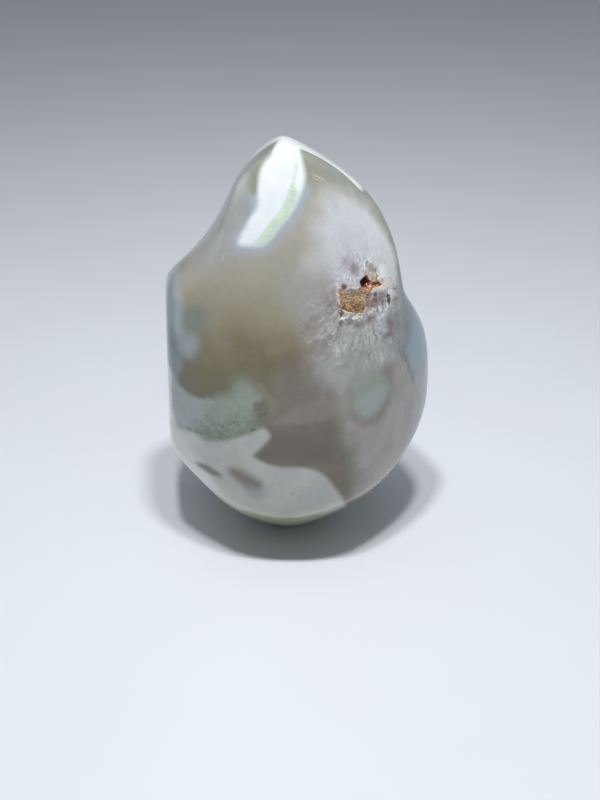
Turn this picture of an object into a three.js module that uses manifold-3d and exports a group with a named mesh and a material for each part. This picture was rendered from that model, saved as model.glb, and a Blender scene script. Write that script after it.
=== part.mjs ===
// A flame-shaped freeform of polished orca agate, about 95 mm tall, standing on a small flat spot.
// It is one piece of stone. A vug, a small natural hollow, is open in its front right face,
// and a crust of quartz crystals lines that vug.
// Millimetres, +Z up. The front faces -Y, and +X is its right. The origin is under the middle
// of the stone's bounding box, on the surface that it stands on.

import * as THREE from 'three';
import { mergeVertices } from 'three/addons/utils/BufferGeometryUtils.js';
import Module from 'manifold-3d';

const wasm = await Module();
wasm.setup();

// The stone's form: faces ground round a heart point, with every ridge between them polished round.
// turn: degrees round the stone, 0 at the front and 90 at the right.
// tilt: degrees that the face looks up, or down where it is negative.
// reach: how far the face lies from the heart.
// up, across: radius of the bow along the face. A short radius is rounder, a negative one hollow.
// rise: how far up the face its bow is centred.
const HEART = new THREE.Vector3(0, 0, 46);
const RIDGE_SOFTNESS = 0.85;
const SADDLE_SOFTNESS = 0.8;

const BODY_FACES = [
  { name: 'front', turn: -3.5, tilt: 9, reach: 22.84, up: 139, across: 57 },
  { name: 'front left', turn: -38.9, tilt: 2.3, reach: 26.73, up: 124, across: 114 },
  { name: 'front right', turn: 40.2, tilt: 8.7, reach: 26.34, up: 115, across: 72 },
  { name: 'left hollow', turn: -97.4, tilt: 35.4, reach: 30.27, up: -55, across: 39, rise: 11.9 },
  { name: 'left', turn: -83.3, tilt: 1.9, reach: 27.48, up: 1860, across: 510 },
  { name: 'left foot', turn: -67.8, tilt: -39.6, reach: 36.58, up: 370, across: 171 },
  { name: 'front foot', turn: -19.7, tilt: -38.1, reach: 38.42, up: 132, across: 91 },
  { name: 'right foot', turn: 52.2, tilt: -36.2, reach: 38.58, up: 87, across: 30 },
  { name: 'back', turn: 184, tilt: 2.9, reach: 21.04, up: 205, across: 90 },
  { name: 'back left', turn: -136.6, tilt: 6.1, reach: 28.69, up: 215, across: 108 },
  { name: 'back foot', turn: 178.8, tilt: -39.1, reach: 39.15, up: 106, across: 50 },
  { name: 'left crown', turn: -97.2, tilt: 49.7, reach: 38.51, up: 190, across: 228, rise: 24.8 },
  { name: 'tip', turn: -10, tilt: 81.9, reach: 51.14, up: 62, across: 60 },
];
const FIN_FACES = [
  { name: 'right edge', turn: 103.2, tilt: 29, reach: 34.08, up: 30, across: 310, rise: 19 },
  { name: 'back of the fin', turn: 142.9, tilt: 30.6, reach: 33.18, up: 189, across: 97 },
];
const SHOULDER_FACES = [
  { name: 'right side', turn: 70.2, tilt: 5.2, reach: 31.06, up: 111, across: 280, rise: -9.4 },
  { name: 'back of the shoulder', turn: 124.5, tilt: 5.2, reach: 31.74, up: 89, across: 69 },
  { name: 'top of the shoulder', turn: 112.7, tilt: 38.7, reach: 28.43, up: 112, across: 215 },
];

const SURFACE_DETAIL = 14;
const FARTHEST_REACH = 120;
const BISECTIONS = 40;

// The vug: three rounded pits that run into one another, placed on the face at VUG_CENTRE.
// across, up: where a pit lies on the face. wide, high, deep: its half sizes.
const VUG_CENTRE = new THREE.Vector3(16.5, -15, 66.8);
const VUG_TURN = 38;
const VUG_TILT = 17;
const VUG_PITS = [
  { across: -2.5, up: -1.1, wide: 3.8, high: 3.5, deep: 3.4, detail: 4 },
  { across: 1.5, up: 1.8, wide: 2.4, high: 2.6, deep: 4.8, detail: 3 },
  { across: 3.8, up: 0.8, wide: 1.9, high: 1.6, deep: 2.8, detail: 3 },
];

// The crust in the vug: a lining, and six-sided points that stand on it.
const CRUST_GAP = 0.3;
const CRUST_THICKNESS = 0.6;
const CRUST_SETBACK = 0.35;
const POINTS_PER_PIT = [22, 12, 6];
const POINT_RADIUS = 0.5;
const POINT_LENGTH = 1.5;
const POINT_SIDES = 6;
const SHORT_POINT = 0.7;
const SHORT_POINT_EVERY = 3;
const GOLDEN_TURN = Math.PI * (3 - Math.sqrt(5));

const MERGE_DISTANCE = 1e-4;

const agate = new THREE.MeshStandardMaterial({ color: 0xa8a498, roughness: 0.12, metalness: 0 });
const quartz = new THREE.MeshStandardMaterial({ color: 0xa97f45, roughness: 0.35, metalness: 0 });

// The outward direction of a face, and the directions across and up it.
function faceFrame(turnDegrees, tiltDegrees) {
  const turn = THREE.MathUtils.degToRad(turnDegrees);
  const tilt = THREE.MathUtils.degToRad(tiltDegrees);
  const out = new THREE.Vector3(
    Math.cos(tilt) * Math.sin(turn),
    -Math.cos(tilt) * Math.cos(turn),
    Math.sin(tilt),
  );
  const across = new THREE.Vector3(Math.cos(turn), Math.sin(turn), 0);
  const up = new THREE.Vector3().crossVectors(out, across);
  return { out, across, up };
}

// Faces with their three directions worked out.
function prepareFaces(faces) {
  return faces.map((face) => ({ rise: 0, ...face, frame: faceFrame(face.turn, face.tilt) }));
}

// How far a point, measured from the heart, lies outside one face.
function pastFace(point, face) {
  const up = point.dot(face.frame.up) - face.rise;
  const across = point.dot(face.frame.across);
  const bow = (up * up) / (2 * face.up) + (across * across) / (2 * face.across);
  return point.dot(face.frame.out) - face.reach + bow;
}

// The largest of some distances, with a rounded change from one to the next.
function softMaximum(distances, softness) {
  const largest = Math.max(...distances);
  const sum = distances.reduce((total, d) => total + Math.exp((d - largest) / softness), 0);
  return largest + softness * Math.log(sum);
}

const bodyFaces = prepareFaces(BODY_FACES);
const finFaces = prepareFaces(FIN_FACES);
const shoulderFaces = prepareFaces(SHOULDER_FACES);

// How far a point, measured from the heart, lies outside the stone. The body is ground all round,
// and on its right the narrow fin above and the shoulder below meet in a shallow saddle.
function pastStone(point) {
  const fin = softMaximum(finFaces.map((face) => pastFace(point, face)), RIDGE_SOFTNESS);
  const shoulder = softMaximum(shoulderFaces.map((face) => pastFace(point, face)), RIDGE_SOFTNESS);
  const rightSide = -softMaximum([-fin, -shoulder], SADDLE_SOFTNESS);
  const body = bodyFaces.map((face) => pastFace(point, face));
  return softMaximum([...body, rightSide], RIDGE_SOFTNESS);
}

// A ball of triangles, each corner moved out from the heart until it meets the stone's surface,
// then drawn in by setback.
function stoneSurface(setback) {
  const geometry = new THREE.IcosahedronGeometry(1, SURFACE_DETAIL);
  const position = geometry.getAttribute('position');
  const direction = new THREE.Vector3();
  const point = new THREE.Vector3();
  for (let i = 0; i < position.count; i += 1) {
    direction.fromBufferAttribute(position, i).normalize();
    let near = 0;
    let far = FARTHEST_REACH;
    for (let step = 0; step < BISECTIONS; step += 1) {
      const middle = (near + far) / 2;
      const outside = pastStone(point.copy(direction).multiplyScalar(middle)) + setback > 0;
      if (outside) far = middle;
      else near = middle;
    }
    point.copy(direction).multiplyScalar(near).add(HEART);
    position.setXYZ(i, point.x, point.y, point.z);
  }
  return geometry;
}

function solidFrom(geometry) {
  const bare = geometry.clone();
  bare.deleteAttribute('normal');
  bare.deleteAttribute('uv');
  const merged = mergeVertices(bare, MERGE_DISTANCE);
  return new wasm.Manifold(
    new wasm.Mesh({
      numProp: 3,
      vertProperties: new Float32Array(merged.getAttribute('position').array),
      triVerts: new Uint32Array(merged.index.array),
    }),
  );
}

function meshFrom(solid, name, material) {
  const made = solid.getMesh();
  const geometry = new THREE.BufferGeometry();
  geometry.setAttribute('position', new THREE.BufferAttribute(made.vertProperties, 3));
  geometry.setIndex(new THREE.BufferAttribute(made.triVerts, 1));
  geometry.computeVertexNormals();
  const mesh = new THREE.Mesh(geometry, material);
  mesh.name = name;
  return mesh;
}

// Everything below the surface that the stone stands on, cut away to leave the flat spot.
function underGround() {
  const size = 2 * FARTHEST_REACH;
  const block = new THREE.BoxGeometry(size, size, size);
  block.translate(0, 0, -size / 2);
  return solidFrom(block);
}

const vugFrame = faceFrame(VUG_TURN, VUG_TILT);

// A place in the vug: across and up its face, and out of it.
function placeInVug(across, up, out) {
  return VUG_CENTRE.clone()
    .addScaledVector(vugFrame.across, across)
    .addScaledVector(vugFrame.up, up)
    .addScaledVector(vugFrame.out, out);
}

// One pit of the vug, with its wall drawn in by inset.
function pitSolid(pit, inset) {
  const geometry = new THREE.IcosahedronGeometry(1, pit.detail);
  geometry.scale(pit.wide - inset, pit.high - inset, pit.deep - inset);
  const turned = new THREE.Matrix4().makeBasis(vugFrame.across, vugFrame.up, vugFrame.out);
  geometry.applyMatrix4(turned.setPosition(placeInVug(pit.across, pit.up, 0)));
  return solidFrom(geometry);
}

function vugSolid(inset) {
  return VUG_PITS.map((pit) => pitSolid(pit, inset)).reduce((all, pit) => all.add(pit));
}

// The points of one pit, spread evenly over its wall. Each stands on the lining and aims
// at the middle of the pit's mouth, and some are shorter.
function crystalPoints(pit, count) {
  const inset = CRUST_GAP + CRUST_THICKNESS / 2;
  const points = [];
  for (let i = 0; i < count; i += 1) {
    const depth = (i + 0.5) / count;
    const ring = Math.sqrt(1 - depth * depth);
    const angle = i * GOLDEN_TURN;
    const foot = placeInVug(
      pit.across + (pit.wide - inset) * ring * Math.cos(angle),
      pit.up + (pit.high - inset) * ring * Math.sin(angle),
      -(pit.deep - inset) * depth,
    );
    const aim = placeInVug(pit.across, pit.up, 0).sub(foot).normalize();
    const length = POINT_LENGTH * (i % SHORT_POINT_EVERY === 0 ? SHORT_POINT : 1);
    const geometry = new THREE.ConeGeometry(POINT_RADIUS, length, POINT_SIDES);
    geometry.rotateY(angle);
    geometry.translate(0, length / 2, 0);
    const upright = new THREE.Vector3(0, 1, 0);
    geometry.applyQuaternion(new THREE.Quaternion().setFromUnitVectors(upright, aim));
    geometry.translate(foot.x, foot.y, foot.z);
    points.push(solidFrom(geometry));
  }
  return points;
}

function buildStone() {
  return solidFrom(stoneSurface(0)).subtract(underGround()).subtract(vugSolid(0));
}

// The lining follows the vug's wall at a small gap. Its points are kept inside the vug
// and below the polished face.
function buildCrust() {
  const room = vugSolid(CRUST_GAP);
  const lining = room.subtract(vugSolid(CRUST_GAP + CRUST_THICKNESS));
  const points = VUG_PITS.flatMap((pit, i) => crystalPoints(pit, POINTS_PER_PIT[i]));
  const grown = points.reduce((all, point) => all.add(point), lining);
  return largestPiece(grown.intersect(room).intersect(solidFrom(stoneSurface(CRUST_SETBACK))));
}

// Leaves out a crumb that the cut along the face takes off.
function largestPiece(solid) {
  const pieces = solid.decompose();
  return pieces.reduce((best, piece) => (piece.volume() > best.volume() ? piece : best));
}

// Moves the whole to stand over the origin by the middle of the stone's own bounding box.
function standOverOrigin(group, stoneMesh) {
  stoneMesh.geometry.computeBoundingBox();
  const middle = stoneMesh.geometry.boundingBox.getCenter(new THREE.Vector3());
  group.position.set(-middle.x, -middle.y, 0);
}

const freeform = new THREE.Group();
const stone = meshFrom(buildStone(), 'agate_stone', agate);
const crust = meshFrom(buildCrust(), 'vug_crystal_crust', quartz);
freeform.add(stone, crust);
standOverOrigin(freeform, stone);

export default freeform;
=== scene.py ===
"""Looks of an orca agate freeform: one polished stone with patches of colour in it,
and the crust of small crystals in its vug. Metres, +Z up, the front faces -Y."""

import functools
import math

import bmesh
import bpy
import numpy as np
from bpy.props import FloatProperty, FloatVectorProperty, IntProperty, PointerProperty
from bpy.types import Operator, Panel, PropertyGroup
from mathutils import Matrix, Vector, noise


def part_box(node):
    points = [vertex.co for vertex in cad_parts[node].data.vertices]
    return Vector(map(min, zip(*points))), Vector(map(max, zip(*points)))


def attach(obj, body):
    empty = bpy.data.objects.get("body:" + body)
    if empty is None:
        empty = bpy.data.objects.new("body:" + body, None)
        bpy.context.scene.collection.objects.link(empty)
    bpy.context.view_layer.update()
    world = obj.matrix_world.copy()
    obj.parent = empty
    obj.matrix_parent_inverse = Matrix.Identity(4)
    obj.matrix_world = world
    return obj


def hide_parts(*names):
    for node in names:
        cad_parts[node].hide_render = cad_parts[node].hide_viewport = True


bl_info = {
    "name": "Agate Freeform",
    "version": (1, 0, 0),
    "blender": (4, 5, 0),
    "location": "3D View > Sidebar > Agate",
    "description": "Builds a polished agate freeform with a crystal-lined vug",
    "category": "Add Mesh",
}

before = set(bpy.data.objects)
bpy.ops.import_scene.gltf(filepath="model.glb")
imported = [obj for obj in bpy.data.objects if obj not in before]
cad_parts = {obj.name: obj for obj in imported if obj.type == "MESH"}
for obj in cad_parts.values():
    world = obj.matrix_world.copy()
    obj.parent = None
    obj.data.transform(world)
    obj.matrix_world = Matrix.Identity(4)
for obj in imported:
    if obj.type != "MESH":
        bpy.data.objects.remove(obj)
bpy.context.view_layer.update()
STONE_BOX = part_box("agate_stone")

MM = 0.001


def tone(code):
    """A colour code such as a8a498 as the linear red, green and blue that shaders use."""
    parts = [int(code[i : i + 2], 16) / 255 for i in (0, 2, 4)]
    return tuple(p / 12.92 if p <= 0.04045 else ((p + 0.055) / 1.055) ** 2.4 for p in parts)


# The stone's form, in millimetres and degrees, from a heart point at HEART_HEIGHT.
# Each ground face has its turn round the stone (0 is the front, 90 the right), how far it
# looks up, its reach from the heart, the radius of its bow up and across the face, and the
# rise of the bow's middle.
HEART_HEIGHT = 46.0
RIDGE_SOFTNESS = 0.85
SADDLE_SOFTNESS = 0.8
BODY_FACES = {
    "front": (-3.5, 9, 22.84, 139, 57, 0),
    "front left": (-38.9, 2.3, 26.73, 124, 114, 0),
    "front right": (40.2, 8.7, 26.34, 115, 72, 0),
    "left hollow": (-97.4, 35.4, 30.27, -55, 39, 11.9),
    "left": (-83.3, 1.9, 27.48, 1860, 510, 0),
    "left foot": (-67.8, -39.6, 36.58, 370, 171, 0),
    "front foot": (-19.7, -38.1, 38.42, 132, 91, 0),
    "right foot": (52.2, -36.2, 38.58, 87, 30, 0),
    "back": (184, 2.9, 21.04, 205, 90, 0),
    "back left": (-136.6, 6.1, 28.69, 215, 108, 0),
    "back foot": (178.8, -39.1, 39.15, 106, 50, 0),
    "left crown": (-97.2, 49.7, 38.51, 190, 228, 24.8),
    "tip": (-10, 81.9, 51.14, 62, 60, 0),
}
FIN_FACES = {
    "right edge": (103.2, 29, 34.08, 30, 310, 19),
    "back of the fin": (142.9, 30.6, 33.18, 189, 97, 0),
}
SHOULDER_FACES = {
    "right side": (70.2, 5.2, 31.06, 111, 280, -9.4),
    "back of the shoulder": (124.5, 5.2, 31.74, 89, 69, 0),
    "top of the shoulder": (112.7, 38.7, 28.43, 112, 215, 0),
}

BALL_LEVELS = 7
BALL_STRETCH = (1.0, 0.8, 1.5)
FARTHEST_REACH = 120.0
BISECTIONS = 26

# The vug: pits that run into one another. Each has its outline across and up the vug's face,
# in millimetres from its centre, its depth, and how far in from its edge the wall reaches.
VUG_TURN = 38
VUG_TILT = 17
VUG_FROM_HEART = (16.5, -15.0, 20.8)
PITS = {
    "floor": {
        "outline": [(-5.2, 1.8), (-3.9, 1.5), (-2.6, 1.4), (-0.9, 1.1), (0.6, 1.3), (1.9, 0.4), (1.9, -1.2),
                    (0.5, -1.7), (0.5, -3.5), (-0.4, -4.4), (-2.0, -4.1), (-3.4, -3.6), (-5.0, -3.0),
                    (-6.0, -1.4), (-5.5, 0.3)],
        "depth": 0.9, "wall": 1.5,
    },
    "hole": {
        "outline": [(2.4, 3.5), (0.0, 2.2), (0.3, 0.6), (1.9, 0.0), (3.7, 1.6)],
        "depth": 2.7, "wall": 0.9,
    },
    "pocket": {
        "outline": [(3.3, 1.1), (5.1, 1.5), (6.1, 0.2), (4.4, -0.2), (3.0, 0.1)],
        "depth": 1.7, "wall": 0.9,
    },
}
PIT_WALL_BEND = 0.6
# How far the pits' outlines stray, and how wide the strays are, coarse and fine.
PIT_STRAY = 0.4
PIT_FINE_STRAY = 0.24
PIT_STRAY_SIZE = 1.6
PIT_FINE_STRAY_SIZE = 0.6
# Natural broken places beside the pits: an outline across and up the face, its depth, and the
# height of the ridges in it.
SCARS = {
    "beside the floor": {
        "outline": [(1.4, -0.4), (7.9, -1.7), (8.2, -4.7), (5.6, -6.4), (1.2, -7.0), (0.2, -4.4)],
        "depth": 0.45,
        "ridge": 0.24,
    },
    "above the hole": {
        "outline": [(3.1, 5.8), (2.0, 3.6), (3.0, 1.6), (5.0, 1.2), (5.4, 3.4)],
        "depth": 0.7,
        "ridge": 0.15,
    },
    "under the floor": {
        "outline": [(-6.2, -3.0), (-1.0, -4.4), (1.2, -5.2), (-2.4, -6.0), (-6.4, -4.4)],
        "depth": 0.3,
        "ridge": 0.25,
    },
}
SCAR_RIDGE_SIZE = 0.7
SCAR_RIDGE_STRETCH = 0.35
SCAR_GRAIN_SIZE = 0.5
SCAR_GRAIN_SHARE = 0.6
SCAR_EDGE = 0.8
SCAR_EDGE_STRAY = 0.4
FINE_REACH = (12.0, 9.5)
RAGGED_SHIFT = (13.7, 7.1, 3.3)


def face_frame(turn, tilt):
    """The outward direction of a face, and the directions across and up it."""
    a, t = math.radians(turn), math.radians(tilt)
    out = np.array([math.cos(t) * math.sin(a), -math.cos(t) * math.cos(a), math.sin(t)])
    across = np.array([math.cos(a), math.sin(a), 0.0])
    return out, across, np.cross(out, across)


def past_faces(points, faces):
    """How far each point, measured from the heart, lies outside each face."""
    columns = []
    for turn, tilt, reach, up_bow, across_bow, rise in faces.values():
        out, across, up = face_frame(turn, tilt)
        bow = (points @ up - rise) ** 2 / (2 * up_bow) + (points @ across) ** 2 / (2 * across_bow)
        columns.append(points @ out - reach + bow)
    return np.stack(columns, axis=-1)


def soft_maximum(distances, softness):
    """The largest of some distances, with a rounded change from one to the next."""
    largest = distances.max(axis=-1, keepdims=True)
    total = np.exp((distances - largest) / softness).sum(axis=-1)
    return largest[..., 0] + softness * np.log(total)


def past_stone(points):
    """How far each point, measured from the heart, lies outside the stone."""
    fin = soft_maximum(past_faces(points, FIN_FACES), RIDGE_SOFTNESS)
    shoulder = soft_maximum(past_faces(points, SHOULDER_FACES), RIDGE_SOFTNESS)
    right_side = -soft_maximum(np.stack([-fin, -shoulder], axis=-1), SADDLE_SOFTNESS)
    body = past_faces(points, BODY_FACES)
    ground = soft_maximum(np.concatenate([body, right_side[..., None]], axis=-1), RIDGE_SOFTNESS)
    return np.maximum(ground, -HEART_HEIGHT - points[..., 2])


def meet_surface(starts, directions, far):
    """Where lines that start inside the stone leave it, found by halving."""
    near = np.zeros(len(directions))
    far = np.full(len(directions), float(far))
    for _ in range(BISECTIONS):
        middle = (near + far) / 2
        outside = past_stone(starts + directions * middle[:, None]) > 0
        far = np.where(outside, middle, far)
        near = np.where(outside, near, middle)
    return starts + directions * near[:, None]


def ragged(points, size, seed):
    """Smooth random heights from about -1 to 1, with bumps about size wide."""
    shift = Vector(RAGGED_SHIFT) * seed
    return np.array([noise.noise(Vector(p) / size + shift) for p in points])


def past_outline(first, second, outline):
    """Distance from points of a plane to a closed outline, negative inside it."""
    corners = np.array(outline, float)
    nearest = np.full(len(first), np.inf)
    inside = np.zeros(len(first), bool)
    for (ax, ay), (bx, by) in zip(corners, np.roll(corners, -1, axis=0)):
        edge = np.array([bx - ax, by - ay])
        along = np.clip(((first - ax) * edge[0] + (second - ay) * edge[1]) / (edge @ edge), 0, 1)
        nearest = np.minimum(nearest, np.hypot(first - ax - along * edge[0], second - ay - along * edge[1]))
        crosses = (ay > second) != (by > second)
        if by != ay:
            inside ^= crosses & (first < (bx - ax) * (second - ay) / (by - ay) + ax)
    return np.where(inside, -nearest, nearest)


def vug_place(across, up, out):
    """Points round the heart, from their places across, up and out of the vug's face."""
    normal, sideways, upward = face_frame(VUG_TURN, VUG_TILT)
    on_face = np.outer(across, sideways) + np.outer(up, upward)
    return np.array(VUG_FROM_HEART) + on_face + np.outer(out, normal)


def vug_coordinates(points):
    """Across, up and out of the vug's face, from points round the heart."""
    out, across, up = face_frame(VUG_TURN, VUG_TILT)
    away = points - np.array(VUG_FROM_HEART)
    return away @ across, away @ up, away @ out


def past_pits(across, up):
    """How far points of the vug's face lie outside the ragged outline of each pit."""
    spots = np.stack([across, up, np.zeros_like(across)], axis=-1)
    rough = PIT_STRAY * ragged(spots, PIT_STRAY_SIZE, 1)
    rough += PIT_FINE_STRAY * ragged(spots, PIT_FINE_STRAY_SIZE, 2)
    return {name: past_outline(across, up, pit["outline"]) + rough for name, pit in PITS.items()}


def pit_depth(across, up):
    """How deep the pits lie under the polished face, in millimetres."""
    deepest = np.zeros_like(across)
    for name, past in past_pits(across, up).items():
        wall = np.clip(-past / PITS[name]["wall"], 0, 1) ** PIT_WALL_BEND
        deepest = np.maximum(deepest, PITS[name]["depth"] * wall)
    return deepest


def scar_depth(across, up):
    """How deep the broken places beside the pits lie, with ridges that run up the face."""
    level = np.zeros_like(across)
    ridges = ragged(np.stack([across, up * SCAR_RIDGE_STRETCH, level], axis=-1), SCAR_RIDGE_SIZE, 3)
    grains = ragged(np.stack([across, up, level], axis=-1), SCAR_GRAIN_SIZE, 4)
    deepest = np.zeros_like(across)
    for scar in SCARS.values():
        past = past_outline(across, up, scar["outline"]) + SCAR_EDGE_STRAY * grains
        inside = np.clip(0.5 - past / SCAR_EDGE, 0, 1)
        relief = scar["ridge"] * (ridges + SCAR_GRAIN_SHARE * grains)
        deepest = np.maximum(deepest, inside * (scar["depth"] + relief))
    return np.clip(deepest, 0, None)


@functools.cache
def ball():
    """A ball drawn to the stone's proportions and finer round the vug: the directions of its
    corners from the middle, and its triangles."""
    bm = bmesh.new()
    bmesh.ops.create_icosphere(bm, subdivisions=BALL_LEVELS, radius=1.0)
    for v in bm.verts:
        v.co = (v.co * Vector(BALL_STRETCH)).normalized()
    aim = Vector(VUG_FROM_HEART)
    for reach in FINE_REACH:
        cosine = math.cos(math.atan(reach / aim.length))
        close = [f for f in bm.faces if f.calc_center_median().normalized().dot(aim) > cosine * aim.length]
        edges = list({e for f in close for e in f.edges})
        bmesh.ops.subdivide_edges(bm, edges=edges, cuts=1, use_grid_fill=True)
        bmesh.ops.triangulate(bm, faces=[f for f in bm.faces if len(f.verts) > 3])
    bm.verts.index_update()
    directions = np.array([v.co.normalized() for v in bm.verts])
    triangles = [tuple(v.index for v in f.verts) for f in bm.faces]
    bm.free()
    return directions, triangles


@functools.cache
def stone_surface():
    """The polished surface round the heart, one point for each corner of the ball."""
    return meet_surface(np.zeros(3), ball()[0], FARTHEST_REACH)


def in_frame(points):
    """Brings points round the heart into the part's frame, in metres, by the stone's box."""
    own_low, own_high = stone_surface().min(axis=0), stone_surface().max(axis=0)
    low, high = np.array(STONE_BOX[0]), np.array(STONE_BOX[1])
    return low + (points - own_low) * (high - low) / (own_high - own_low)


def vug_centre():
    """The middle of the vug's face in the part's frame, in millimetres."""
    return in_frame(np.array(VUG_FROM_HEART)) / MM


def object_from_mesh(name, mesh):
    obj = bpy.data.objects.new(name, mesh)
    bpy.context.scene.collection.objects.link(obj)
    return obj


def write_attribute(mesh, name, values):
    attribute = mesh.attributes.new(name, "FLOAT", "POINT")
    attribute.data.foreach_set("value", np.asarray(values, np.float32))


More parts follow.
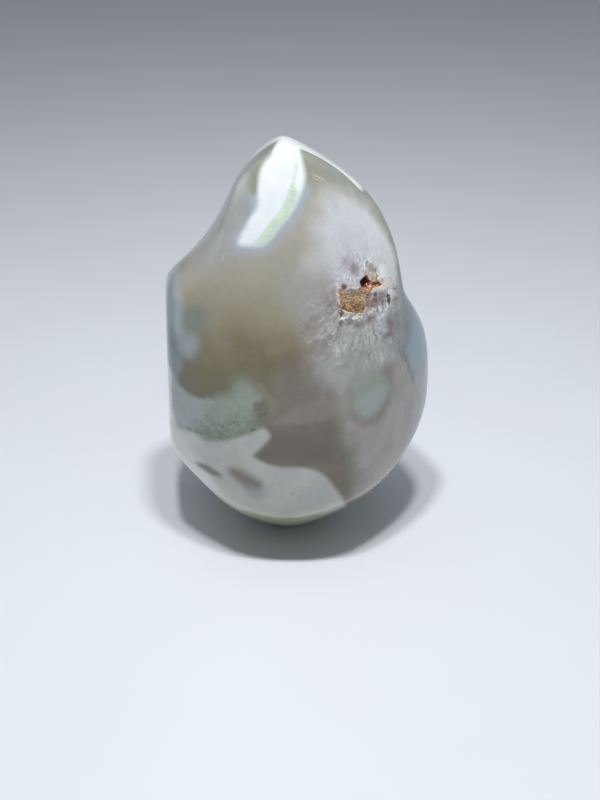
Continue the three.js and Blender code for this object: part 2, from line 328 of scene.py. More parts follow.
# The patches of colour in the stone, in the order in which they cover one another. Each is a
# smooth closed curve seen from the front, through points in millimetres across and up, that
# reaches through the stone from one depth to another. Edge is how softly it ends, wander how
# far its edge strays, grain the size of the clouds in which its two tones mix. A patch with
# no tones of its own shows the quartz round the vug.
# A few of the patches are painted highlights, painted reflections and painted shade; each says so where it
# stands.
FRONT = -40.0
BACK = 40.0
PATCHES = {
    "hollow": {
        "through": [(-39.7, 64), (-26.7, 67), (-20.7, 70.5), (-13.7, 74.5), (-8.7, 79), (-6.7, 87),
                    (-6.7, 95), (-12.7, 104)],
        "depths": (FRONT, 6), "edge": 2.2, "wander": 0.8, "grain": 9, "tones": ("b6b6b2", "a6a9a9"),
    },
    # A painted sheen: a paler band along the crest over the hollow, standing for light reflected there.
    "hollow_painted_sheen": {
        "through": [(-37.7, 66), (-27.7, 67), (-23.7, 70.5), (-18.7, 76), (-14.7, 82), (-10.7, 88),
                    (-9.2, 93), (-19.7, 98)],
        "depths": (FRONT, 3), "edge": 1.5, "wander": 0.3, "grain": 6, "tones": ("b9bcba", "b0b4b2"),
    },
    "fin_edge": {
        "through": [(1.3, 98), (3.3, 93), (7.3, 89.5), (12.3, 86), (17.3, 82), (21.3, 76), (24.3, 70),
                    (36.3, 70), (36.3, 99)],
        "depths": (FRONT, 8), "edge": 2.0, "wander": 0.6, "grain": 7, "tones": ("94978b", "969d9a"),
    },
    "middle_brown": {
        "through": [(-6.7, 39), (0.3, 42), (9, 46), (9.3, 51), (4.3, 54.5), (-0.7, 54.5), (-5.2, 51),
                    (-5.7, 45)],
        "depths": (FRONT, -4), "edge": 2.2, "wander": 0.7, "grain": 7, "tones": ("84786b", "898378"),
    },
    "back_haze": {
        "through": [(-29.7, 62), (-13.7, 68), (0.3, 60), (5.3, 50), (0.3, 40), (-13.7, 38),
                    (-29.7, 42)],
        "depths": (0, BACK), "edge": 5, "wander": 3, "grain": 12, "tones": ("8b836e", "978f7c"),
    },
    "back_veil": {
        "through": [(-26, 55), (-17, 60), (-6, 57), (2, 51), (-1, 46), (-9, 49.5), (-17, 51),
                    (-26, 47)],
        "depths": (8, BACK), "edge": 2.6, "wander": 2.4, "grain": 6, "tones": ("a19b8a", "928a77"),
    },
    "back_dusk": {
        "through": [(-21, 44), (-13, 46), (-6, 41), (-7, 34), (-15, 32), (-22, 37)],
        "depths": (8, BACK), "edge": 3, "wander": 2, "grain": 7, "tones": ("756c58", "7f7662"),
    },
    "back_cloud": {
        "through": [(6, 84), (15, 80), (24, 72), (33, 60), (34, 47), (25, 41), (17, 45), (12, 54),
                    (8, 63), (4, 72)],
        "depths": (3, BACK), "edge": 2.2, "wander": 2.2, "grain": 8, "tones": ("c4c8c8", "a9adad"),
    },
    "back_wisp": {
        "through": [(10, 78), (18, 70), (24, 60), (27, 50), (23, 52), (17, 61), (11, 70)],
        "depths": (3, BACK), "edge": 1.6, "wander": 1.6, "grain": 4, "tones": ("d9dede", "c2c7c7"),
    },
    "back_green": {
        "through": [(-2, 33), (1, 39), (7, 44.5), (14, 45.5), (22, 42.5), (30, 40), (31, 33), (20, 28),
                    (9, 28)],
        "depths": (3, BACK), "edge": 1.2, "wander": 1.1, "grain": 4.5, "tones": ("9da699", "8b9586"),
    },
    "back_mottle": {
        "through": [(1, 34), (8, 40), (16, 40), (25, 37), (24, 31), (12, 30)],
        "depths": (3, BACK), "edge": 1.8, "wander": 1.3, "grain": 1.1, "tones": ("838f7c", "a2a99e"),
    },
    "back_foot": {
        "through": [(-43.7, 33), (-27, 35), (-20, 31), (-15, 26.5), (-9, 25.5), (-4, 29.5), (2, 34),
                    (8, 31), (13, 28.5), (22, 30.5), (30, 34), (44.3, 33), (44.3, -9), (-43.7, -9)],
        "depths": (3, BACK), "edge": 1.0, "wander": 0.7, "grain": 5, "tones": ("c6c7c3", "bab9b4"),
    },
    "back_brown": {
        "through": [(-22, 19.5), (-17, 22.5), (-10, 21), (-5, 17), (-8, 13.5), (-14, 15), (-19, 15)],
        "depths": (4, BACK), "edge": 0.9, "wander": 0.6, "grain": 4, "tones": ("8a8072", "948c80"),
    },
    "back_spot": {
        "through": [(9, 21.5), (14, 22.5), (20, 19.5), (17, 17.5), (11, 18.5)],
        "depths": (4, BACK), "edge": 0.8, "wander": 0.4, "grain": 3, "tones": ("8f8f86", "857e73"),
    },
    "back_halo": {
        "through": [(-8, 99), (-8.5, 88), (-6.5, 79), (-1, 70), (1.5, 62), (5, 57), (8, 61), (7.5, 70),
                    (6, 79), (7, 88), (8, 99)],
        "depths": (1, BACK), "edge": 1.6, "wander": 0.7, "grain": 5, "tones": ("b9bec4", "b1b5b6"),
    },
    "back_blade": {
        "through": [(-5, 99), (-5.6, 90), (-3.4, 83), (0.2, 76), (2, 69), (3.6, 63.5), (5.2, 66),
                    (5, 73), (3.4, 80), (4.4, 88), (5, 99)],
        "depths": (1, BACK), "edge": 0.5, "wander": 0.45, "grain": 3, "tones": ("eef4f6", "dfe8e6"),
    },
    "back_vein": {
        "through": [(-2.4, 90), (-0.4, 83), (2, 76), (3.4, 69), (4.2, 69.5), (3.6, 76), (1.6, 83),
                    (-0.6, 90)],
        "depths": (1, BACK), "edge": 0.5, "wander": 0.5, "grain": 1.2, "tones": ("cfdfc6", "bfceae"),
    },
    "tip_cap": {
        "through": [(-15, 85), (-9, 86.5), (-4, 85), (3, 87), (9, 83), (14, 78.5), (22, 79), (24, 92),
                    (0, 101), (-17, 96)],
        "depths": (3, BACK), "edge": 1.0, "wander": 1.0, "grain": 3.5, "tones": ("e9efef", "d9e0df"),
    },
    "brown_lower": {
        "through": [(-6.9, 41.3), (-4.4, 41.0), (0, 41.2), (4.6, 41.4), (8.2, 39.6), (9.9, 34),
                    (10.9, 28), (12, 21), (13.5, 12), (10.5, 18.4), (9.1, 21.3), (6.8, 25.5),
                    (3.2, 28.3), (-4.2, 28.5), (-7.9, 28.9), (-9.5, 30.8), (-9.3, 32.3), (-7.3, 35.2),
                    (-6.4, 38)],
        "depths": (FRONT, 0), "edge": 1.5, "wander": 0.3, "grain": 8, "tones": ("766b5d", "827a6e"),
    },
    "brown_shade": {
        "through": [(-7.6, 36), (-2, 37.5), (4, 37), (8.5, 34), (8.6, 29.5), (3.4, 29.6), (-4, 29.8),
                    (-8, 30.6)],
        "depths": (FRONT, -4), "edge": 2.6, "wander": 0.4, "grain": 7, "tones": ("6f6555", "73695b"),
    },
    "pale_strip": {
        "through": [(-5.7, 39.6), (-1.2, 42.9), (2.3, 44.3), (5.7, 46), (9.4, 47), (8.6, 41),
                    (0.3, 39.6)],
        "depths": (FRONT, -4), "edge": 0.8, "wander": 0.2, "grain": 5, "tones": ("8f867b", "8b8277"),
    },
    "grey_shoulder": {
        "through": [(9.8, 53), (17.3, 56.5), (27.3, 56), (44, 50), (44, 0), (22.3, -2), (16.5, 6),
                    (14.6, 14), (14.3, 22), (13.1, 30), (10.2, 39), (7.8, 46)],
        "depths": (FRONT, 16), "edge": 2.8, "wander": 0.9, "grain": 5, "tones": ("b0aaa6", "a39f99"),
    },
    # Painted shade: a darker band along the right edge of the stone.
    "right_edge_shade": {
        "through": [(29.3, 44), (28.5, 36), (27.8, 27), (27.3, 20), (34.3, 18), (40.3, 30), (38.3, 44)],
        "depths": (FRONT, 6), "edge": 2.2, "wander": 0.5, "grain": 5, "tones": ("b3b6b8", "acaeb0"),
    },
    # A painted sheen: a paler bluish band on the front left, standing for light reflected there.
    "left_painted_sheen": {
        "through": [(-29.7, 67), (-25.2, 65.5), (-24.3, 59), (-25.5, 50), (-29.7, 46)],
        "depths": (FRONT, 4), "edge": 2.0, "wander": 0.4, "grain": 6, "tones": ("b3bec4", "a9b4ba"),
    },
    "left_face": {
        "through": [(-43.7, 69), (-27.7, 66), (-27, 59), (-26.9, 48), (-43.7, 46)],
        "depths": (FRONT, 0), "edge": 1.7, "wander": 0.8, "grain": 6, "tones": ("8c9a9d", "869496"),
    },
    "left_face_middle": {
        "through": [(-43.7, 57), (-27.1, 56), (-26.9, 50), (-43.7, 48)],
        "depths": (FRONT, -2), "edge": 2.4, "wander": 0.6, "grain": 5, "tones": ("6a8087", "72868c"),
    },
    "left_face_low": {
        "through": [(-44, 49), (-28.2, 47), (-27.6, 42), (-27.4, 37), (-27.6, 31), (-44, 28)],
        "depths": (FRONT, 6), "edge": 0.9, "wander": 0.5, "grain": 6, "tones": ("d9e1e3", "d1d9da"),
    },
    "left_line": {
        "through": [(-26.8, 52), (-26.2, 47), (-25.8, 42), (-25.7, 37.5), (-26.3, 37.5), (-26.6, 42),
                    (-27.2, 47), (-27.8, 52)],
        "depths": (FRONT, -4), "edge": 0.9, "wander": 0.15, "grain": 4, "tones": ("7c8f92", "86989a"),
    },
    "left_spot_high": {
        "through": [(-23.7, 60), (-21.3, 63.8), (-18.7, 62.8), (-20.3, 58.4)],
        "depths": (FRONT, -4), "edge": 2.0, "wander": 0.25, "grain": 4, "tones": ("919a93", "8b958f"),
    },
    "left_spot_low": {
        "through": [(-25.1, 54.5), (-22.4, 57.8), (-20.6, 56.3), (-23, 52)],
        "depths": (FRONT, -4), "edge": 1.7, "wander": 0.2, "grain": 4, "tones": ("a5aeb3", "9da8ad"),
    },
    "pale_field": {
        "through": [(-27.3, 46), (-26.4, 44.4), (-21.7, 43), (-17.2, 43.2), (-16.7, 38), (-19.7, 33.6),
                    (-25.7, 31.6), (-27.2, 31.5), (-27.6, 38)],
        "depths": (FRONT, 2), "edge": 0.9, "wander": 0.3, "grain": 5, "tones": ("adb5b3", "a5abaa"),
    },
    "green_field": {
        "through": [(-19.7, 42.6), (-14.7, 45.4), (-11.4, 49.6), (-8.3, 48.3), (-7.3, 45.2),
                    (-8.4, 42.6), (-9.8, 39.4), (-14, 35.2), (-18.2, 33.9), (-20.1, 37)],
        "depths": (FRONT, 2), "edge": 2.0, "wander": 0.7, "grain": 3.5, "tones": ("9daa9d", "929e8f"),
    },
    "green_haze": {
        "through": [(-22, 36.8), (-16.5, 39), (-11, 40.5), (-10, 38), (-14, 35.2), (-17, 33.6),
                    (-22, 34.2)],
        "depths": (FRONT, -4), "edge": 1.5, "wander": 0.9, "grain": 1.1, "tones": ("7a8a76", "95a297"),
    },
    "ochre_strand": {
        "through": [(-8.2, 49.4), (-5.6, 46.8), (-4.2, 43.4), (-6.2, 40.6), (-7.2, 38.6), (-6.3, 40.9),
                    (-5.6, 43.2), (-6.8, 46.4)],
        "depths": (FRONT, -4), "edge": 0.8, "wander": 0.5, "grain": 1.4, "tones": ("8b8668", "8f8a72"),
    },
    "green_rim": {
        "through": [(-25, 33.6), (-21.3, 34.8), (-17.8, 35.9), (-14, 36), (-11, 37.9), (-7.4, 39.2),
                    (-7, 38), (-11, 36.3), (-14, 33.9), (-16.7, 32), (-18.6, 33.4), (-21.3, 33.8),
                    (-25, 32.8)],
        "depths": (FRONT, -4), "edge": 0.7, "wander": 0.5, "grain": 0.9, "tones": ("73826b", "8d9a86"),
    },
    "field_end": {
        "through": [(-9, 43.8), (-6.9, 44.2), (-5.8, 42), (-7.7, 40.5)],
        "depths": (FRONT, -4), "edge": 0.7, "wander": 0.2, "grain": 1, "tones": ("7b7d69", "70705c"),
    },
    "white_foot": {
        "through": [(-43.7, 32), (-28.2, 30.4), (-23.7, 32.4), (-18.2, 33.2), (-11.7, 35.8), (-7, 38.2),
                    (-5.5, 36.2), (-7.7, 33.3), (-9.3, 31), (-4.7, 28.9), (2.3, 28.4), (6.6, 26),
                    (10.5, 19), (12.9, 11), (17.3, 3), (17.3, -9), (-43.7, -9)],
        "depths": (FRONT, 5), "edge": 0.8, "wander": 0.12, "grain": 7, "tones": ("c6c7c3", "bab9b4"),
    },
    "foot_corner": {
        "through": [(-30, 32.6), (-26, 32.2), (-22.5, 33.2), (-21, 31.2), (-24.5, 29.2), (-27, 27.5),
                    (-30, 27)],
        "depths": (FRONT, 0), "edge": 1.2, "wander": 0.4, "grain": 2.5, "tones": ("d3d6cc", "cdd1c9"),
    },
    "foot_light": {
        "through": [(-31, 32), (-27, 31), (-24, 28.5), (-21.6, 25.6), (-19, 22), (-15.5, 18),
                    (-11.5, 14.6), (-13.5, 12.5), (-18, 14), (-25, 18), (-31, 25)],
        "depths": (FRONT, 4), "edge": 1.7, "wander": 0.2, "grain": 4, "tones": ("dededa", "d7d7d2"),
    },
    "foot_tint": {
        "through": [(-19, 16), (-12, 17.2), (-7.7, 16.4), (-3, 17), (2.1, 16), (6.5, 14.5), (12, 12),
                    (16, -6), (-24, -6)],
        "depths": (FRONT, 6), "edge": 3.6, "wander": 0.6, "grain": 3, "tones": ("b6b9a2", "b8baa7"),
    },
    "foot_shade": {
        "through": [(-11, 12.6), (-7.8, 13), (-4.8, 14.3), (-1.3, 14.7), (2.1, 13.4), (6, 12), (12, -6),
                    (-16, -6)],
        "depths": (FRONT, -2), "edge": 3.2, "wander": 0.5, "grain": 2, "tones": ("959a83", "9b9f8a"),
    },
    "small_spot": {
        "through": [(-22.9, 24.4), (-20.2, 25.5), (-16.7, 24.2), (-18.5, 23.1), (-21.2, 23.3)],
        "depths": (FRONT, -4), "edge": 0.9, "wander": 0.1, "grain": 3, "tones": ("686557", "726f60"),
    },
    "spot_tail": {
        "through": [(-11.7, 23), (-8, 23.8), (-6.7, 21.2), (-9.7, 19.6)],
        "depths": (FRONT, -4), "edge": 1.6, "wander": 0.1, "grain": 3, "tones": ("a0a2a8", "a9a9a9"),
    },
    "large_spot": {
        "through": [(-15.2, 26.7), (-12.5, 27.3), (-8.5, 25), (-7.8, 23.1), (-10.7, 22.7),
                    (-14.2, 24.7)],
        "depths": (FRONT, -4), "edge": 1.6, "wander": 0.15, "grain": 3, "tones": ("7c7264", "82796a"),
    },
    "round_ring": {
        "through": [(13, 51), (17.4, 51.4), (21.6, 48.6), (22, 43), (19.8, 37.4), (15.6, 36.8),
                    (12.6, 39.5), (11.2, 46)],
        "depths": (FRONT, 0), "edge": 1.6, "wander": 0.4, "grain": 3, "tones": ("8b847c", "938c85"),
    },
    "round_spot": {
        "through": [(12.2, 46.2), (13, 48.7), (13.7, 50.1), (16.1, 50.1), (19.2, 48), (20.4, 44.7),
                    (20.2, 41.8), (18.5, 39.5), (15.9, 38.7), (13.9, 40.2), (12.7, 42.8)],
        "depths": (FRONT, 0), "edge": 1.5, "wander": 0.25, "grain": 2.2, "tones": ("98a493", "9ba798"),
    },
    "round_spot_low": {
        "through": [(13.2, 43.6), (16.3, 45.4), (19.8, 44.6), (19.8, 42), (18.2, 39.9), (15.9, 39.3),
                    (14.2, 40.6)],
        "depths": (FRONT, 0), "edge": 1.5, "wander": 0.3, "grain": 2.2, "tones": ("a5b0ae", "a3aeac"),
    },
    "rear_facet": {
        "through": [(22.6, 64), (23.2, 57), (23.5, 52), (24.9, 48.2), (25.5, 45.6), (26.4, 42.6),
                    (28, 42.9), (30.6, 41.2), (44, 41.5), (44, 70), (25, 70)],
        "depths": (-12, 9), "edge": 0.7, "wander": 0.7, "grain": 5, "tones": ("93a9ba", "9aabb6"),
    },
    "quartz_haze": {
        "through": [(-2.5, 71.5), (1, 74), (3.2, 70), (1.8, 65), (-0.8, 65), (-3.2, 68)],
        "depths": (FRONT, -6), "edge": 3.2, "wander": 0.6, "grain": 4, "tones": ("b0aeaa", "a9a8a4"),
    },
    "cloudy_quartz": {
        "through": [(5.9, 86), (9.8, 85), (15.3, 80.5), (19.8, 74.5), (22.3, 67), (23.1, 59),
                    (21.9, 53), (17.3, 49.5), (12.3, 48.2), (7.4, 47.8), (3.2, 52.8), (0.8, 60),
                    (0.3, 66), (2.3, 73), (4.3, 80)],
        "depths": (FRONT, 3), "edge": 3.2, "wander": 1.6, "grain": 5,
    },
    "quartz_arc": {
        "through": [(8.8, 85.6), (12.3, 83.8), (15.9, 80.6), (19.3, 76.2), (21.6, 71), (22.7, 66),
                    (18.3, 68), (11.3, 78)],
        "depths": (FRONT, 3), "edge": 0.8, "wander": 0.5, "grain": 4,
    },
    # Painted shade: a darker strip between the quartz and the rear facet, near the right edge.
    "quartz_side_shade": {
        "through": [(22.6, 68), (23.1, 62), (23.1, 56.5), (22.9, 51), (24.6, 49), (26.2, 56),
                    (25.2, 64)],
        "depths": (FRONT, 6), "edge": 1.1, "wander": 0.5, "grain": 2.4, "tones": ("9aa2a5", "868c92"),
    },
    # Painted shade: a thin darker line along the crease.
    "rear_crease_shade": {
        "through": [(22.7, 53.6), (23.8, 50.6), (25.2, 48), (25.8, 45.4), (26.8, 42.4), (26.9, 40.6),
                    (26.3, 41), (26, 43), (25.1, 45.6), (24.4, 48), (23, 50.6)],
        "depths": (-12, 12), "edge": 0.28, "wander": 0.3, "grain": 1.4, "tones": ("7c8891", "8f9aa0"),
    },
    "blade_foot_halo": {
        "through": [(-8.5, 87), (-8.7, 84), (-10.9, 80.8), (-13.1, 77.6), (-11.7, 75.3), (-6, 76.4),
                    (-1.7, 80), (1.1, 84), (2.7, 88), (0.3, 88)],
        "depths": (FRONT, -4), "edge": 1.7, "wander": 0.2, "grain": 5, "tones": ("b7c1d2", "b0b8bf"),
    },
    "blade_wedge": {
        "through": [(-8.9, 92), (-6.1, 93.8), (-7, 91), (-7.9, 87.5), (-9.3, 87), (-10, 89.5)],
        "depths": (FRONT, 4), "edge": 1.1, "wander": 0.2, "grain": 4, "tones": ("8f9381", "9d9e93"),
    },
    "white_blade": {
        "through": [(-4.7, 98), (-4.8, 94.6), (-6, 93), (-7.2, 90.7), (-7.6, 87.3), (-7.8, 84.5),
                    (-9.4, 82.2), (-11, 79.4), (-11.8, 77.6), (-10.8, 77), (-6.7, 77.6), (-4.5, 79.8),
                    (-0.8, 83.9), (1.3, 87.5), (2, 90.5), (1.3, 93.4), (0.6, 95), (0.4, 98)],
        "depths": (FRONT, 5), "edge": 0.8, "wander": 0.1, "grain": 4, "tones": ("f6fcff", "eef6fd"),
    },
    "blade_wash": {
        "through": [(-0.8, 88.1), (0.6, 87.6), (0, 85), (-2.5, 81.7), (-4.8, 79), (-6.9, 77.3),
                    (-8.6, 77.3), (-6.4, 79.6), (-4.4, 82), (-2.6, 84)],
        "depths": (FRONT, -4), "edge": 0.9, "wander": 0.3, "grain": 1.4, "tones": ("d7e4da", "c8d8c9"),
    },
    "blade_vein": {
        "through": [(-0.1, 95.2), (0.5, 92.6), (0.2, 90.6), (-0.5, 88), (-1.2, 86), (-2.4, 83.4),
                    (-4, 81.6), (-6, 79.2), (-7.8, 77.6), (-6.6, 79.7), (-4.8, 82), (-3.1, 84),
                    (-1.7, 86.4), (-1.1, 88.2), (-0.2, 90.7), (-0.1, 92.5)],
        "depths": (FRONT, -2), "edge": 0.45, "wander": 0.15, "grain": 1.0, "tones": ("dcf0d6", "c9dfbe"),
    },
    # Painted highlights: thin white lines along the crest, on the left and on the right, where the lamps
    # catch the ridge.
    "left_rim_highlight": {
        "through": [(-11.5, 88), (-9.4, 89.6), (-8, 92), (-6, 93.2), (-4.6, 94.3), (-3, 95), (-3, 98),
                    (-9, 97)],
        "depths": (1.8, 14), "edge": 0.35, "wander": 0.05, "grain": 4, "tones": ("fbffff", "f2f8fa"),
    },
    "right_rim_highlight": {
        "through": [(0.4, 94.2), (5.8, 91.4), (10.7, 87.6), (13.2, 85.9), (15.4, 84.5), (17.4, 83.4),
                    (20, 84), (8, 97), (0.4, 98)],
        "depths": (-2.9, 10), "edge": 0.35, "wander": 0.05, "grain": 4, "tones": ("fbffff", "f2f8f9"),
    },
}
CURVE_STEPS = 5
# Behind the front faces the patches stray in long waves, which grow from one depth to another.
# Each wave has its slopes across, in depth and up, in radians to the millimetre, and where it
# starts.
STRAY_FROM = -8.0
STRAY_TO = 12.0
STRAY = 3.0
STRAY_WAVES = (((0, 1 / 7, 1 / 9), 0), ((1 / 9, 0, 1 / 5), 0), ((1 / 8, -1 / 11, 0), 1.3))
# Farther behind, and below the tip, they stray freely as well, each in a direction of its own.
FREE_FROM = 1.0
FREE_OVER = 7.0
FREE_BELOW = 86.0
FREE_STRAY = 6.5
FREE_STRAY_SIZE = 9.0
FREE_SEEDS = (7, 8, 9)
OWN_TURN = 2.4
# Edges are at least this soft from a depth on, and a patch's far end is softer than its sides.
SOFT_FROM = 8.0
EDGE_BEHIND = 1.7
END_SOFTNESS = 2.5

# Small pale streaks and dark specks laid over the stone's colour: where each starts and ends, its width in
# millimetres and its tone.
MARKS = {
    "upper streak under the tip": ((3.6, -7.6, 91.2), (6.4, -7.4, 90.2), 0.22, "bdbeb4"),
    "streak under the tip": ((3.4, -7.8, 90.8), (6.8, -7.5, 89.0), 0.26, "c6c7bd"),
    "lower streak under the tip": ((3.8, -8.0, 89.9), (5.6, -7.9, 89.1), 0.2, "b7b8ae"),
    "streak in the hollow": ((-15.2, -12.8, 74.0), (-14.4, -12.4, 77.0), 0.4, "bfbfb6"),
    "upper pale streak in the haze": ((-5.8, -19.8, 55.0), (-3.7, -20.1, 54.1), 0.16, "978f7a"),
    "lower pale streak in the haze": ((-5.3, -20.4, 52.1), (-3.3, -20.7, 51.2), 0.16, "978f7a"),
    "pale streak in the lobe": ((-20.0, -16.6, 51.6), (-18.3, -17.7, 50.1), 0.16, "8d846d"),
    "pale streak over the brown": ((-8.1, -22.0, 34.6), (-7.0, -22.3, 32.9), 0.13, "9a8f7e"),
    "speck in the foot": ((-0.9, -22.9, 21.5), (-0.7, -22.9, 21.5), 0.32, "857a74"),
    "speck on the green rim": ((-9.6, -21.8, 37.6), (-8.8, -21.8, 37.9), 0.32, "555a48"),
    "speck at the field's end": ((-6.4, -21.7, 41.6), (-6.4, -21.7, 42.0), 0.38, "5d5d49"),
    "left speck in the field": ((-19.6, -18.4, 39.2), (-19.5, -18.4, 39.4), 0.3, "74806e"),
    "middle speck in the field": ((-14.2, -20.6, 38.4), (-14.1, -20.6, 38.6), 0.34, "66745f"),
    "low speck in the field": ((-16.2, -20.2, 37.2), (-16.0, -20.2, 37.3), 0.34, "66745f"),
    "speck on the crease": ((26.5, -5.9, 38.0), (26.6, -5.8, 38.3), 0.34, "6d6a70"),
    "speck by the left face": ((-28.2, -9.8, 32.2), (-28.2, -9.8, 32.5), 0.28, "6c706b"),
}


def closed_curve(through):
    """A smooth closed outline through some points, each stretch shaped by its neighbours."""
    points = np.array(through, float)
    before, after, later = (np.roll(points, shift, axis=0) for shift in (1, -1, -2))
    outline = []
    for step in np.arange(CURVE_STEPS) / CURVE_STEPS:
        bend = (2 * before - 5 * points + 4 * after - later) * step**2
        bend += (3 * points - before - 3 * after + later) * step**3
        outline.append(points + ((after - before) * step + bend) / 2)
    return np.stack(outline, axis=1).reshape(-1, 2)


def past_patches(points):
    """Distance from each patch in millimetres, negative inside it. Behind the front faces the
    edges stray and grow softer, and each patch ends at an uneven depth, because a patch there
    is no copy of its outline in front."""
    behind = np.clip((points[:, 1] - STRAY_FROM) / (STRAY_TO - STRAY_FROM), 0, 1)
    waves = [np.sin(points @ np.array(slopes) + start) for slopes, start in STRAY_WAVES]
    strayed = points + STRAY * behind[:, None] * np.stack(waves, axis=-1)
    free = np.clip((points[:, 1] - FREE_FROM) / FREE_OVER, 0, 1)
    free *= np.clip((FREE_BELOW - points[:, 2]) / FREE_OVER, 0, 1)
    sways = [FREE_STRAY * free * ragged(points, FREE_STRAY_SIZE, seed) for seed in FREE_SEEDS]
    x = strayed[:, 0] + sways[0]
    z = strayed[:, 2] + sways[1]
    hidden = np.clip(points[:, 1] / SOFT_FROM, 0, 1)
    distances = {}
    for number, (name, patch) in enumerate(PATCHES.items()):
        front, back = patch["depths"]
        turn = OWN_TURN * number
        y = strayed[:, 1] + math.cos(turn) * sways[2] + math.sin(turn) * sways[0]
        ends = np.maximum(front - y, (y - back) / END_SOFTNESS)
        flat = past_outline(x, z, closed_curve(patch["through"]))
        softer = 1 + hidden * max(EDGE_BEHIND / patch["edge"] - 1, 0)
        distances[name] = np.maximum(flat, ends) / softer
    return distances


class Wiring:
    """Adds nodes to a tree and joins them, so that a material reads from top to bottom."""

    def __init__(self, tree):
        self.tree = tree

    def add(self, kind, inputs=None, **settings):
        node = self.tree.nodes.new(kind)
        for name, value in settings.items():
            setattr(node, name, value)
        for key, value in (inputs or {}).items():
            self.feed(node.inputs[key], value)
        return node

    def feed(self, socket, value):
        if isinstance(value, bpy.types.NodeSocket):
            self.tree.links.new(value, socket)
        elif socket.type == "RGBA":
            socket.default_value = (*value[:3], 1.0)
        else:
            socket.default_value = value

    def math(self, operation, first, second=0.0, clamp=False):
        inputs = {0: first, 1: second}
        return self.add("ShaderNodeMath", inputs, operation=operation, use_clamp=clamp).outputs[0]

    def vector(self, operation, first, second=(0, 0, 0)):
        node = self.add("ShaderNodeVectorMath", {0: first}, operation=operation)
        if operation == "SCALE":
            self.feed(node.inputs["Scale"], second)
        else:
            self.feed(node.inputs[1], second)
        return node.outputs["Value" if operation in ("LENGTH", "DOT_PRODUCT", "DISTANCE") else "Vector"]

    def mix(self, share, first, second):
        node = self.add("ShaderNodeMix", {0: share, 6: first, 7: second}, data_type="RGBA")
        return node.outputs[2]

    def fade(self, value, start, end, low=0.0, high=1.0):
        inputs = {0: value, 1: start, 2: end, 3: low, 4: high}
        return self.add("ShaderNodeMapRange", inputs, interpolation_type="SMOOTHSTEP").outputs[0]

    def ramp(self, value, tones):
        """A colour that runs through tones, given by their places from 0 to 1."""
        node = self.add("ShaderNodeValToRGB", {0: value})
        elements = node.color_ramp.elements
        codes = list(tones.values())
        elements[0].color = (*tone(codes[0]), 1)
        elements[1].color = (*tone(codes[-1]), 1)
        for place, code in tones.items():
            elements.new(place).color = (*tone(code), 1)
        return node.outputs["Color"]

    def noise(self, place, size, detail=2.0, roughness=0.5):
        """Noise from 0 to 1 over a place in millimetres, with features about size wide."""
        scale = self.math("DIVIDE", 1.0, size) if isinstance(size, bpy.types.NodeSocket) else 1.0 / size
        inputs = {"Vector": place, "Scale": scale, "Detail": detail, "Roughness": roughness}
        return self.add("ShaderNodeTexNoise", inputs).outputs["Fac"]

    def wander(self, place, scale, detail):
        """A vector that drifts about nothing from place to place."""
        inputs = {"Vector": place, "Scale": scale, "Detail": detail}
        drift = self.add("ShaderNodeTexNoise", inputs).outputs["Color"]
        return self.vector("SUBTRACT", drift, (0.5, 0.5, 0.5))

    def millimetres(self):
        place = self.add("ShaderNodeTexCoord").outputs["Object"]
        return self.vector("SCALE", place, 1 / MM)

    def attribute(self, name):
        return self.add("ShaderNodeAttribute", attribute_name=name).outputs["Fac"]

    def group(self, tree, inputs):
        return self.add("ShaderNodeGroup", inputs, node_tree=tree).outputs[0]


def new_group(name, inputs, output, kind="NodeSocketFloat"):
    """A shader node group with named sockets, its wiring, its inputs and its output socket.
    Inputs are numbers, or another kind of socket where one is named."""
    tree = bpy.data.node_groups.new(name, "ShaderNodeTree")
    for label, input_kind in inputs.items():
        tree.interface.new_socket(name=label, in_out="INPUT", socket_type=input_kind)
    tree.interface.new_socket(name=output, in_out="OUTPUT", socket_type=kind)
    wiring = Wiring(tree)
    return tree, wiring, wiring.add("NodeGroupInput").outputs, wiring.add("NodeGroupOutput").inputs[output]


NUMBER = "NodeSocketFloat"
COLOUR = "NodeSocketColor"
VECTOR = "NodeSocketVector"
# Most of a noise lies between these values.
NOISE_SPAN = (0.3, 0.7)
# Noise keeps near its middle, so a patch's edge strays by its wander when the noise, less its
# middle, is stretched this far.
WANDER_SPAN = 4.0
# Between these values of the noise one tone of a patch gives way to the other.
CLOUD_CHANGE = (0.32, 0.68)
# The share of a mark's width that it covers whole.
MARK_CORE = 0.3
# A stain's outline sways this far, and this often to the millimetre.
STAIN_SWAY = 1.3
STAIN_SWAY_SCALE = 1.4
# How far fibres bend aside, how often to the millimetre, and how much they change outward.
FIBRE_SWAY = 0.35
FIBRE_SWAY_SCALE = 0.3
FIBRE_DRIFT = 0.16


def patch_cover_group():
    """Turns the distance from a patch into how much it covers, with a straying soft edge."""
    inputs = {"Distance": NUMBER, "Edge": NUMBER, "Wander": NUMBER, "Grain": NUMBER}
    tree, w, given, made = new_group("patch_cover", inputs, "Cover")
    clouds = w.noise(w.millimetres(), given["Grain"], detail=3.0, roughness=0.55)
    span = w.math("MULTIPLY", given["Wander"], WANDER_SPAN)
    stray = w.math("MULTIPLY", w.math("SUBTRACT", clouds, 0.5), span)
    distance = w.math("ADD", given["Distance"], stray)
    inner = w.math("MULTIPLY", given["Edge"], -1.0)
    w.feed(made, w.fade(distance, given["Edge"], inner))
    return tree


def clouded_tone_group():
    """One tone drifting into another in soft clouds."""
    inputs = {"First": COLOUR, "Second": COLOUR, "Grain": NUMBER}
    tree, w, given, made = new_group("clouded_tone", inputs, "Tone", COLOUR)
    clouds = w.noise(w.millimetres(), given["Grain"], detail=4.0, roughness=0.6)
    share = w.fade(clouds, *CLOUD_CHANGE)
    w.feed(made, w.mix(share, given["First"], given["Second"]))
    return tree


